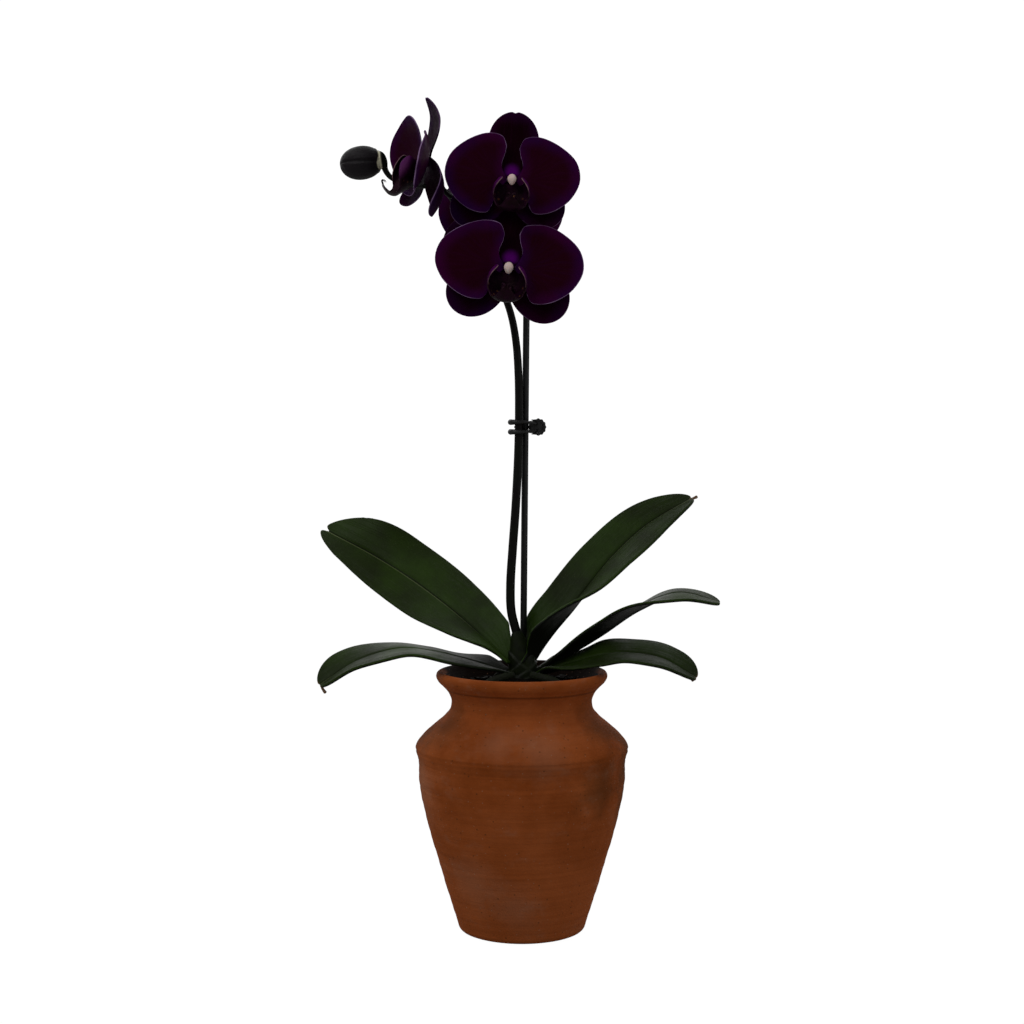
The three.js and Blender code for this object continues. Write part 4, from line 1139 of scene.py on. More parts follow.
def bud_material(look):
    """Bud: greyish black purple with fine lengthwise lines, dark seams and a cream ring at its base, partly
    the base's own cream and partly a painted highlight.
    """
    tree, shader = new_material("Bud", {"Specular IOR Level": 0.22})
    place = tree.place()
    lines = tree.use("Veins", {"Vector": tree.uv(), "Stretch": (2, 30, 1)})
    colour = tree.blend(tree.math("MULTIPLY", lines, 0.5), look.bud, look.dark)
    colour = tree.blend(tree.value("rib"), colour, look.dark)
    # The cream ring, brightened into a painted highlight
    colour = tree.blend(tree.value("mark"), colour, look.ring)
    grain = tree.use("Skin Grain", {"Vector": place, "Scale": 1800.0})
    roughness = tree.ramp(tree.noise(place, 120.0), 0.3, 0.7, 0.3, 0.45)
    relief = tree.math("MULTIPLY_ADD", lines, 0.8, grain)
    connect(tree, shader, colour, roughness, tree.bump(relief, 0.00015))


def plastic_material(name, colour, roughness_range, scale):
    """Black plastic: nearly even, with faint rubbed patches and a fine moulded texture."""
    tree, shader = new_material(name, {"Specular IOR Level": 0.4})
    place = tree.place()
    paler = [min(1, channel * 2.2 + 0.004) for channel in colour[:3]] + [1]
    mixed = tree.use("Mottle", {
        "Vector": place, "Scale": scale, "Softness": 0.4, "First": colour, "Second": paler,
    })
    low, high = roughness_range
    roughness = tree.ramp(tree.noise(place, scale * 2), 0.3, 0.7, low, high)
    grain = tree.use("Skin Grain", {"Vector": place, "Scale": 1800.0})
    connect(tree, shader, mixed, roughness, tree.bump(grain, 0.00006))


def steel_material(look):
    """Spring steel: bright metal with drawn lines and slight tarnish."""
    tree, shader = new_material("Steel", {"Metallic": 1.0})
    place = tree.place()
    dark = [channel * 0.45 for channel in look.steel[:3]] + [1]
    colour = tree.use("Mottle", {
        "Vector": place, "Scale": 500.0, "Softness": 0.5, "First": look.steel, "Second": dark,
    })
    drawn = tree.noise(tree.scaled(place, (1, 1, 14)), 700.0)
    connect(tree, shader, colour, tree.ramp(drawn, 0.3, 0.7, 0.25, 0.42), tree.bump(drawn, 0.00003))


class OrchidOperator:
    """What every operator here has in common: it builds its pieces in the scene and reports success."""

    bl_options = {"REGISTER", "UNDO"}

    def execute(self, context):
        self.build(context.scene)
        return {"FINISHED"}


class ORCHID_OT_groups(OrchidOperator, bpy.types.Operator):
    """Make the node groups that the finishes share"""

    bl_idname = "orchid.make_groups"
    bl_label = "Shared finishes"

    def build(self, scene):
        make_groups()


class ORCHID_OT_pot(OrchidOperator, bpy.types.Operator):
    """Make the terracotta pot with its rings, rolled rim and drain holes"""

    bl_idname = "orchid.make_pot"
    bl_label = "Terracotta pot"

    def build(self, scene):
        look = scene.orchid_pot
        clay_material(look)
        pot = to_mesh("pot", self.wall(look))
        holes = [to_mesh("drain", self.drain(k)) for k in range(DRAIN_COUNT)]
        cut = combined(pot, holes, "DIFFERENCE")
        cut.set_sharp_from_angle(angle=math.radians(50))
        as_piece("terracotta_pot", cut, "Terracotta")

    def wall(self, look):
        """The profile turned about Z. Rings are a sum of sines of the height, and the wobble is a sum of
        sines of the angle. Both fade out on the foot. Fine lines are cut below the shoulder."""
        outside = route(POT_OUTSIDE, np.linspace(0, 1, 210))
        inside = route(POT_INSIDE, np.linspace(0, 1, 90))
        bottom, floor = [[0, 0], [17, 0], [32, 0]], [[17, FLOOR_TOP], [0, FLOOR_TOP]]
        profile = np.vstack([bottom, outside, inside, floor])
        radius, height = profile[:, :1], profile[:, 1:]
        around = 192
        angle = circle(around)
        drift = 1.3 * np.sin(angle) + 0.6 * np.sin(2 * angle + 1)
        rings = sum(
            depth * np.sin((height + part * drift) / wave + phase) for wave, part, phase, depth in POT_RINGS
        )
        wobble = np.sin(2 * angle + 0.7) * 0.6 + np.sin(3 * angle + height / 31) * 0.4
        cuts = sum(
            depth * bell(height - line - 0.3 * np.sin(angle + line), width)
            for line, width, depth in POT_LINES
        )
        fade = step_up(radius, 20, 36) * step_up(height, 0, 5)
        bulge = fade * (rings * look.ring_depth / MM + wobble * look.wobble / MM - cuts)
        return turned(profile, around, bulge)

    def drain(self, number):
        """A plain rod through the pot's floor."""
        angle = 2 * np.pi * (number + 0.5) / DRAIN_COUNT
        rod = turned([[DRAIN_RADIUS, -FLOOR_TOP], [DRAIN_RADIUS, 2 * FLOOR_TOP]], DRAIN_SIDES)
        centre = [DRAIN_CIRCLE_RADIUS * math.cos(angle), DRAIN_CIRCLE_RADIUS * math.sin(angle), 0]
        return moved(rod, shift=centre)


class ORCHID_OT_mix(OrchidOperator, bpy.types.Operator):
    """Make the bark mix: a rough bed with loose chips and a few pale crumbs on it"""

    bl_idname = "orchid.make_mix"
    bl_label = "Bark mix"

    def build(self, scene):
        look = scene.orchid_mix
        bark_material(look)
        rng = np.random.default_rng(LUMP_SEED)
        chips = self.pieces(rng, look.chips, look.chip_size / MM, CHIP_PROPORTIONS, 0)
        crumbs = self.pieces(rng, CRUMB_COUNT, CRUMB_SIZE, CRUMB_PROPORTIONS, 1)
        made_piece("bark_mix", [self.bed(), chips, crumbs], "Bark Mix", sharp_angle=35)

    def bed(self):
        """The mix without loose lumps: its profile turned about Z, the top roughened by sines of the place."""
        top = route(MIX_TOP, np.linspace(0, 1, 40))
        side = route(MIX_SKIRT, np.linspace(0, 1, 48))
        profile = np.vstack([top, side, MIX_FLOOR])
        part = turned(profile, 96)
        x, y, z = part["points"].T
        rough = 0.5 * np.sin(x * 1.3 + 2 * np.sin(y * 0.7)) * np.sin(y * 1.1 + np.sin(x * 0.9))
        return moved(part, shift=np.stack([0 * x, 0 * y, rough * (z > MIX_SKIRT[0][1])], -1))

    def pieces(self, rng, count, size, proportions, mark):
        """Rounded lumps. Each is the surface of a 3 by 3 by 3 lattice, with its points jittered. It is
        stretched, turned at random and laid on the bed."""
        lattice, faces = rounded_block()
        away = rng.uniform(*LUMP_AWAY, count)
        angle = rng.uniform(0, 2 * np.pi, count)
        place = np.stack([away * np.cos(angle), away * np.sin(angle), 0 * away], -1)
        top = np.asarray(MIX_TOP, float)
        sizes = size * rng.uniform(0.55, 1.25, count)[:, None] * np.asarray(proportions) / 2
        place[:, 2] = np.interp(away, top[:, 0], top[:, 1]) + rng.uniform(-0.2, 1.6, count)
        jitter = rng.uniform(-0.22, 0.22, (count, len(lattice), 3))
        lumps = (lattice + jitter) * sizes[:, None]
        yaw, tilt = rng.uniform(0, 2 * np.pi, count), rng.normal(0, 0.35, count)
        c, s = np.cos(yaw)[:, None], np.sin(yaw)[:, None]
        ct, st = np.cos(tilt)[:, None], np.sin(tilt)[:, None]
        x, y, z = np.moveaxis(lumps, 2, 0)
        y, z = y * ct - z * st, y * st + z * ct
        points = np.stack([x * c - y * s, x * s + y * c, z], -1) + place[:, None]
        start = np.arange(count)[:, None, None] * len(lattice)
        corners = (faces[None] + start).reshape(-1, 4)
        uv = np.zeros((len(corners), 4, 2))
        lumps = {"points": points.reshape(-1, 3), "faces": corners, "uv": uv, "values": {}}
        return marked(lumps, mark=mark)


def rounded_block():
    """The surface of a 3 by 3 by 3 lattice as 24 four-cornered faces, corners drawn in towards a ball."""
    grid = np.stack(np.meshgrid(*[np.arange(3)] * 3, indexing="ij"), -1).reshape(-1, 3)
    points = grid - 1.0
    length = np.linalg.norm(points, axis=1, keepdims=True)
    points = points / np.where(length > 1, length ** 0.45, 1)
    faces = []
    for axis in range(3):
        first, second = [k for k in range(3) if k != axis]
        for level in (0, 2):
            for i in range(2):
                for j in range(2):
                    corners = []
                    for di, dj in ((0, 0), (1, 0), (1, 1), (0, 1)):
                        at = [0, 0, 0]
                        at[axis], at[first], at[second] = level, i + di, j + dj
                        corners.append(at[0] * 9 + at[1] * 3 + at[2])
                    turn_over = (level == 0) != (axis == 1)
                    faces.append(corners[::-1] if turn_over else corners)
    return points, np.asarray(faces)


class ORCHID_OT_crown(OrchidOperator, bpy.types.Operator):
    """Make the stem base with the sheaths of the leaves round it"""

    bl_idname = "orchid.make_crown"
    bl_label = "Stem base"

    def build(self, scene):
        look = scene.orchid_stem
        stem_material("Stem Base", look.sheath, look.stem, 120.0, (0.4, 0.55), 0.0001)
        share = np.linspace(0, 1, 110)[:, None]
        angle = circle(96)
        height, x, half_x, half_y = np.moveaxis(track(CROWN, share[:, 0]), 1, 0)[:, :, None]
        extra = 0 * angle * height
        for leaf_angle, edge, rise in SHEATHS:
            top = edge + rise * np.cos(angle - math.radians(leaf_angle))
            extra = extra + SHEATH_THICKNESS * step_up(top - height, 0, SHEATH_LIP)
        rings = np.stack([
            x + (half_x + extra) * np.cos(angle), (half_y + extra) * np.sin(angle), height + 0 * angle,
        ], -1)
        made_piece("stem_base", [wrap(rings)], "Stem Base")


def rounded_tip(along, across, widest):
    """Places on a blade for a grid that runs from -1 to 1 both ways. Up to its widest place the share of
    length is widest times 1 + along. Past it the grid fills half a disc: each share is scaled by the root
    of 1 minus half the other one's square. Returns the share of length and the share of half width."""
    tip = np.clip(along, 0, 1)
    past = widest + (1 - widest) * tip * np.sqrt(1 - across ** 2 / 2)
    return np.where(along < 0, widest * (1 + along), past), across * np.sqrt(1 - tip ** 2 / 2)


def blade_rows(base_rows, tip_rows, start=-1.0):
    """Places along a blade from its start to its tip, packed towards the tip."""
    tip = np.sin(np.linspace(0, np.pi / 2, tip_rows))
    return np.r_[np.linspace(start, 0, base_rows, endpoint=False), tip]


class ORCHID_OT_leaves(OrchidOperator, bpy.types.Operator):
    """Make the five leaves"""

    bl_idname = "orchid.make_leaves"
    bl_label = "Leaves"

    def build(self, scene):
        look = scene.orchid_leaf
        leaf_material(look)
        for spec in LEAVES:
            made_piece(spec["name"], self.parts(spec, look), "Leaf")

    def parts(self, spec, look):
        """The blade as a shell, and the dry thread at its tip if it has one."""
        length = np.linalg.norm(np.diff(route(spec["path"], np.linspace(0, 1, 60)), axis=0), axis=1).sum()
        tuck = LEAF_TUCK / length
        along, across = np.meshgrid(
            blade_rows(64, 44, -1 - tuck / LEAF_WIDEST), graded_halves(24), indexing="ij",
        )
        middle, reach, share = self.middle(spec, along, across, length)
        fade = step_up(share, 0.0, 0.15) * step_up(1 - share, 0.0, 0.2)
        groove = -look.groove / MM * bell(reach, LEAF_GROOVE_WIDTH) * fade
        keel = look.keel / MM * bell(reach, LEAF_KEEL_WIDTH) * fade
        dry = step_up(share, *(1 - away / length for away in LEAF_DRY)) * bool(spec["thread"])
        # Painted shadow over the base of leaves that lie in the shade of others; a negative value makes the
        # base greener
        darkness, dark_length = spec["base"]
        dark = darkness * (1 - step_up(share * length, 0.5 * dark_length, dark_length))
        blade = shell(
            middle, LEAF_THICKNESS, groove, keel, edge=edge_distance(middle), heart=dark, rib=reach, mark=dry,
        )
        if not spec["thread"]:
            return [blade]
        tip = middle[-1, middle.shape[1] // 2]
        forward = unit(tip - middle[-8, middle.shape[1] // 2])
        along_tip, drop = spec["thread"]
        hang = along_tip * forward + np.array([0, 0, -drop])
        thread = tube([tip - forward, tip + hang * 0.45, tip + hang], LEAF_THREAD_RADII, 14, 8)
        return [blade, marked(thread, mark=1, front=1)]

    def middle(self, spec, along, across, length):
        """The middle surface: a point on the midrib, plus the half width at that share of length times
        the place across, turned by the roll and lifted on both sides by the fold. The edges droop and
        wave a little."""
        share, spread = rounded_tip(along, across, LEAF_WIDEST)
        tip = np.clip(along, 0, 1) ** 6 / length
        share = share + tip * (spec["skew"] * across - spec["notch"] * bell(across, 0.1))
        base = np.clip(share, 0, LEAF_WIDEST)
        foot, slim = (np.where(spread > 0, *spec[key]) for key in ("foot", "slim"))
        rise = foot + (1 - foot) * np.sin(np.pi / 2 * base / LEAF_WIDEST)
        rise = rise * np.minimum(1, LEAF_FOOT_SHARE + LEAF_FOOT_GROWTH * base)
        narrow = 1 - slim * np.clip((share - LEAF_WIDEST) / (1 - LEAF_WIDEST), 0, 1) ** 2
        reach = spec["width"] / 2 * np.where(along < 0, rise, narrow) * spread
        steps = np.linspace(0, 1, 240)
        line = route(spec["path"], steps)
        forward = unit(np.gradient(line, axis=0))
        up = unit(np.array([0, 0, 1]) - forward[:, 2:] * forward)
        far = np.cross(up, forward)
        far = far * np.where(far[:, 1:2] < 0, -1, 1)
        roll = np.radians(track(spec["roll"], steps))[:, None]
        side = far * np.cos(roll) + up * np.sin(roll)
        face = up * np.cos(roll) - far * np.sin(roll)
        tucked = np.minimum(share, 0)[..., None] * length * forward[0]
        at, side, face = (spread_by(share, steps, rows) for rows in (line, side, face))
        fold = np.radians(np.where(spread > 0, track(spec["fold"], share), track(spec["near_fold"], share)))
        crease = np.sqrt(reach ** 2 + 1) - 1
        wave = spec["wave"] * np.sin(share * 17 + np.sign(spread) * 1.1) * spread ** 2
        wave = wave * step_up(share, 0.1, 0.4)
        lift = crease * np.sin(fold) - LEAF_DROOP * np.abs(spread) ** 3 + wave
        return at + tucked + side * (reach * np.cos(fold))[..., None] + face * lift[..., None], reach, share


class ORCHID_OT_roots(OrchidOperator, bpy.types.Operator):
    """Make the aerial roots over the mix"""

    bl_idname = "orchid.make_roots"
    bl_label = "Aerial roots"

    def build(self, scene):
        root_material(scene.orchid_stem)
        for number, path in enumerate(ROOTS, 1):
            lumps = tube(path, ROOT_RADII, 50, 16, swell=lambda share: 1 + 0.05 * np.sin(share * 31 + number))
            made_piece(f"aerial_root_{number}", [lumps], "Root")


class ORCHID_OT_spike(OrchidOperator, bpy.types.Operator):
    """Make the flower spike, the stalks of the flowers and the bracts"""

    bl_idname = "orchid.make_spike"
    bl_label = "Flower spike"

    def build(self, scene):
        look = scene.orchid_stem
        stem_material("Stem", look.stem, look.blush, 60.0, (0.36, 0.5), 0.0001)
        nodes = np.array([node for node, _ in BRACTS])
        shares = self.node_shares(nodes)
        spike = tube(
            [SPIKE_FOOT, *SPIKE], SPIKE_RADII, 300, 20,
            swell=lambda share: 1 + NODE_SWELL * bell(share[:, None] - shares, NODE_LENGTH).sum(1),
        )
        made_piece("flower_spike", [spike], "Stem")
        for flower in FLOWERS:
            name = flower["name"]
            depth = PEDICEL_END * flower["size"]
            ends = to_world(flower, np.array([[0, 0, depth - PEDICEL_RUN], [0, 0, depth + PEDICEL_SUNK]]))
            stalk = tube([*PEDICELS[name], *ends], PEDICEL_RADII, 60, 16)
            made_piece(f"{name}_pedicel", [stalk], "Stem")
        bud_stalk = tube(BUD_PEDICEL, BUD_PEDICEL_RADII, 110, 16)
        made_piece("bud_pedicel", [bud_stalk], "Stem")
        for number, (node, side) in enumerate(BRACTS, 1):
            made_piece(f"bract_{number}", [self.bract(node, side)], "Stem")

    def node_shares(self, nodes):
        """Shares of the spike's length at which its nodes lie, a little below where the stalks leave."""
        shares = np.linspace(0, 1, 800)
        line = route([SPIKE_FOOT, *SPIKE], shares)
        away = np.linalg.norm(line[:, None] - np.asarray(SPIKE)[nodes], axis=2)
        return shares[away.argmin(0)]

    def bract(self, node, side):
        """A pointed scale: a blade that narrows as 1 minus the square of its share of length, and is bent
        round the stem so that its sides lie a little behind its middle."""
        place = np.asarray(SPIKE[node], float)
        rise = unit(place - np.asarray(SPIKE[node - 1], float))
        out = unit(np.asarray(side, float))
        out = unit(out - rise * (out @ rise))
        across = np.cross(rise, out)
        radius = track(SPIKE_RADII, np.array([node / (len(SPIKE) - 1)]))[0] + BRACT_GAP
        share, spread = np.meshgrid(np.linspace(0, 1, 20), 2 * graded(15) - 1, indexing="ij")
        bend = spread * BRACT_HALF_WIDTH * (1 - share ** 2 * 0.97) / radius
        reach = radius + BRACT_LEAN * share ** 2
        foot = place - rise * BRACT_DROP
        middle = (
            foot + rise * (share * BRACT_LENGTH)[..., None] + out * (reach * np.cos(bend))[..., None]
            + across * (reach * np.sin(bend))[..., None]
        )
        return shell(middle, BRACT_THICKNESS)


def flower_matrix(flower):
    """From a flower's own axes (X right, Y up, Z towards who faces it) to the row's frame."""
    return turn_matrix(2, -flower["turn"]) @ turn_matrix(0, 90) @ turn_matrix(2, flower["roll"])


def to_world(flower, points):
    """Points in a flower's own axes, already at their size, in the row's frame."""
    return points @ flower_matrix(flower).T + np.asarray(flower["at"], float)


class ORCHID_OT_flowers(OrchidOperator, bpy.types.Operator):
    """Make the four open flowers, each of eight pieces; their stalks are made with the spike"""

    bl_idname = "orchid.make_flowers"
    bl_label = "Flowers"

    def build(self, scene):
        look = scene.orchid_flower
        petal_material("Petal", look, look.heart, 6.5, 0.62, 0.9)
        petal_material("Sepal", look, look.sepal, 6.0, 0.35, 0.5)
        lip_material(look)
        cap_material(look)
        for number, flower in enumerate(FLOWERS):
            self.flower(flower, look, number)

    def flower(self, flower, look, number):
        size = flower["size"]
        thickness = look.thickness / MM / size
        dorsal = self.sepal(DORSAL, 1, size, flower["sepals"][0], thickness)
        self.add(flower, "dorsal_sepal", [dorsal], "Sepal", "petal")
        for index, label in enumerate(("left", "right")):
            side = 2 * index - 1
            lateral = self.sepal(LATERAL, side, size, flower["sepals"][index + 1], thickness)
            self.add(flower, f"lateral_sepal_{label}", [lateral], "Sepal", "petal")
            ripple = look.ripple / MM
            petal = self.petal(side, flower, index, thickness, ripple, number)
            self.add(flower, f"petal_{label}", [petal], "Petal", "petal")
        self.add(flower, "lip", self.lip(*flower.get("lobes", LIP_LOBES)), "Lip", "lip")
        column = marked(tube(COLUMN, COLUMN_RADII, 24, 20), heart=7.5, edge=NO_RIM)
        self.add(flower, "column", [column], "Petal", "petal")
        self.add(flower, "anther_cap", [self.cap()], "Anther Cap", "anther_cap")

    def add(self, flower, label, parts, look, slot):
        """Places parts, made in the flower's own axes at size 1, where the flower is."""
        for part in parts:
            moved(part, flower_matrix(flower) * flower["size"], flower["at"])
        made_piece(f"{flower['name']}_{label}", parts, look)

    def petal(self, side, flower, index, thickness, ripple, number):
        """A sheet spread between its two inner edges, with the rim's bulge added in proportion to the
        share of length. It is turned and flattened about its claw, cups forward by the square of the
        distance from it, and its rim ripples."""
        spread, cup, lift, height, peak, pitch = flower["petals"][index]
        s, t = np.meshgrid(np.sin(np.linspace(0, np.pi / 2, 44)), graded(72), indexing="ij")
        upper, lower = track(PETAL_UPPER_EDGE, s), track(PETAL_LOWER_EDGE, s)
        rim = track(PETAL_RIM, t)
        first, last = np.asarray(PETAL_RIM[0], float), np.asarray(PETAL_RIM[-1], float)
        w = t[..., None]
        flat = upper + (lower - upper) * w + (rim - first - (last - first) * w) * s[..., None]
        flat[..., 1] += peak * bell(t - PETAL_PEAK[0], PETAL_PEAK[1]) * s ** 2
        away = np.linalg.norm(flat - PETAL_CLAW, axis=-1)
        flat = PETAL_CLAW + (flat - PETAL_CLAW) @ turn_matrix(2, lift)[:2, :2].T * [1, height]
        forward = PETAL_FRONT + cup * (away / PETAL_REACH) ** 2 / flower["size"]
        forward = forward - pitch * (flat[..., 1] - PETAL_CLAW[1])
        phase = 1.7 * number + 2.3 * index
        forward = forward + ripple * s ** 4 * np.sin(t * 23 + phase) * (0.6 + 0.4 * np.sin(t * 9 + phase))
        forward = forward + PETAL_BULGE * np.sin(np.pi * s) * np.sin(np.pi * t) ** 2
        middle = np.stack([side * spread * flat[..., 0], flat[..., 1], forward], -1)
        rimless = 1.2 * step_up(t, 0.9, 0.97) * (1 - step_up(s, 0.8, 0.95))
        return self.blade(middle, thickness, rimless)

    def blade(self, middle, thickness, rimless=0):
        """A shell whose points know how far they are from its edge, and how far from the glow above the
        column. That distance counts nearly double downwards."""
        x, y = middle[..., 0] - GLOW_CENTRE[0], middle[..., 1] - GLOW_CENTRE[1]
        away = np.hypot(x, np.where(y > 0, 0.9, 1.9) * y)
        return shell(middle, thickness, edge=edge_distance(middle) + rimless, heart=away)

    def sepal(self, shape, side, size, bend, thickness):
        """A blade that leans back by a smooth cubic step along its length, comes forward again at its tip
        by the fourth power, and is dished across by the square."""
        lean, hook, width, dish, longer = bend
        along, across = np.meshgrid(blade_rows(36, 30), graded_halves(18), indexing="ij")
        share, spread = rounded_tip(along, across, SEPAL_WIDEST)
        base = np.clip(share, 0, SEPAL_WIDEST)
        rise = SEPAL_CLAW_SHARE + (1 - SEPAL_CLAW_SHARE) * np.sin(np.pi / 2 * base / SEPAL_WIDEST)
        offset = width * shape["half_width"] * np.where(along < 0, rise, 1) * spread
        reach = SEPAL_ROOT + (shape["length"] + longer - SEPAL_ROOT) * share
        reach = reach - shape["notch"] * np.clip(along, 0, 1) ** 6 * bell(across, 0.12)
        leaning = lean * step_up(share, *SEPAL_LEAN)
        back = SEPAL_BACK - (leaning - hook * share ** 4) / size + dish * offset ** 2 / shape["half_width"]
        back = back + 0.3 * np.sin(share * 11 + side) * spread ** 2
        turn = math.radians(shape["angle"])
        forward = np.array([side * math.cos(turn), math.sin(turn)])
        flat = forward * reach[..., None] + np.array([-forward[1], forward[0]]) * offset[..., None]
        plain = SEPAL_PLAIN * (1 - step_up(share, 0.3, 0.55))
        return self.blade(np.concatenate([flat, back[..., None]], -1), thickness, plain)

    def lip(self, lobe_rise, lobe_lean):
        """The lip's sheet, whose section at each share of length is an arc: sideways the half width times
        the sine of the angle, upwards the rise times 1 minus its cosine. Then its two callus lumps and
        two tendrils."""
        s, t = np.meshgrid(np.linspace(0, 1, 90), graded(60), indexing="ij")
        forward, up, half_width, rise, opening = np.moveaxis(track(LIP, s), -1, 0)
        opening = np.radians(opening)
        angle = opening * (2 * t - 1)
        height = 1 - np.cos(angle)
        width = half_width * np.sin(angle) / np.sin(np.minimum(np.pi / 2, opening))
        lobes = step_up(opening, 1, 2.2)
        rise = rise * (1 + lobe_rise * bell(s - LIP_LOBE_PEAK[0], LIP_LOBE_PEAK[1]))
        middle = np.stack([width, up + rise * height, forward + lobe_lean * lobes * height / 2], -1)
        flecked = bell(s - 0.42, 0.16) * bell(angle, 0.9)
        rimless = step_up(s, LIP_RIM[1], LIP_RIM[1] + 0.1) + 1 - step_up(s, LIP_RIM[0], LIP_RIM[0] + 0.08)
        parts = [shell(
            middle, LIP_THICKNESS, up=1, edge=edge_distance(middle) + 1.2 * rimless, mark=flecked,
            rib=lobes * step_up(height, 0.9, 1.9),
        )]
        for side in (-1, 1):
            lump = marked(self.ball(CALLUS["radii"], 16, 20), mark=1, edge=NO_RIM)
            parts.append(moved(lump, shift=np.asarray(CALLUS["at"]) * [side, 1, 1]))
            tendril = tube(np.asarray(TENDRIL) * [side, 1, 1], TENDRIL_RADII, 24, 8)
            parts.append(marked(tendril, edge=NO_RIM))
        return parts

    def ball(self, radii, rows, around):
        """An ellipsoid from its three radii, as rings from pole to pole along Y."""
        turn = np.linspace(0, np.pi, rows)[:, None]
        angle = circle(around)
        x, z = np.sin(turn) * np.cos(angle), np.sin(turn) * np.sin(angle)
        return wrap(np.stack([x, np.cos(turn) + 0 * angle, z], -1) * np.asarray(radii, float))

    def cap(self):
        """The anther cap: an ellipsoid that narrows to a blunt beak below, with a seam down its front."""
        part = self.ball([1, 1, 1], 26, 32)
        x, y, z = part["points"].T
        narrow = 1 - CAP_BEAK * step_up(-y, -0.3, 1)
        seam = 1 - 0.09 * bell(x, 0.16) * step_up(z, 0, 0.6)
        part["points"] = np.stack([x * narrow, y, z * narrow * seam], -1) * CAP_RADII + CAP_CENTRE
        return part


class ORCHID_OT_bud(OrchidOperator, bpy.types.Operator):
    """Make the closed bud"""

    bl_idname = "orchid.make_bud"
    bl_label = "Bud"

    def build(self, scene):
        look = scene.orchid_bud
        bud_material(look)
        base, tip = np.asarray(BUD_BASE, float), np.asarray(BUD_TIP, float)
        axis = tip - base
        side = np.array([0, 1, 0])
        up = unit(np.cross(unit(axis), side))
        share = np.r_[np.linspace(-0.09, 0.1, 20), np.sin(np.linspace(0.07, np.pi / 2, 80))][:, None]
        share = np.unique(np.round(share, 6))[:, None]
        angle = circle(96)
        place = np.abs(np.clip(share, 0, 1) - BUD_WIDEST) / (1 - BUD_WIDEST)
        radius = BUD_RADIUS * np.sqrt(np.clip(1 - place ** BUD_POWER, 0, 1))
        radius = radius * np.sqrt(1 - np.clip(-share / 0.1, 0, 1) ** 2)
        seams = 0 * angle
        for degrees in BUD_GROOVES:
            away = np.angle(np.exp(1j * (angle - math.radians(degrees) - BUD_TWIST * share)))
            seams = seams + bell(away, BUD_SEAM_WIDTH)
        depth = look.groove / MM * seams * np.sin(np.pi * np.clip(share, 0, 1)) ** 0.5
        radius = radius - depth + BUD_CORNERS * np.cos(3 * (angle - math.radians(BUD_GROOVES[0]) - np.pi))
        radius = radius * (1 + BUD_RING_SWELL * bell(share - BUD_RING, 0.03))
        radius = np.maximum(radius, 0)
        # Where the cream ring lies, partly a painted highlight
        ring = step_up(share, -0.06, -0.02) * step_up(BUD_RING + 0.03 * np.sin(3 * angle) - share, 0, 0.03)
        rings = (
            base + axis * share[..., None] + side * (radius * np.cos(angle))[..., None]
            + up * (radius * np.sin(angle))[..., None]
        )
        made_piece("flower_bud", [wrap(rings, rib=seams * 0.8 + 0 * share, mark=ring)], "Bud")


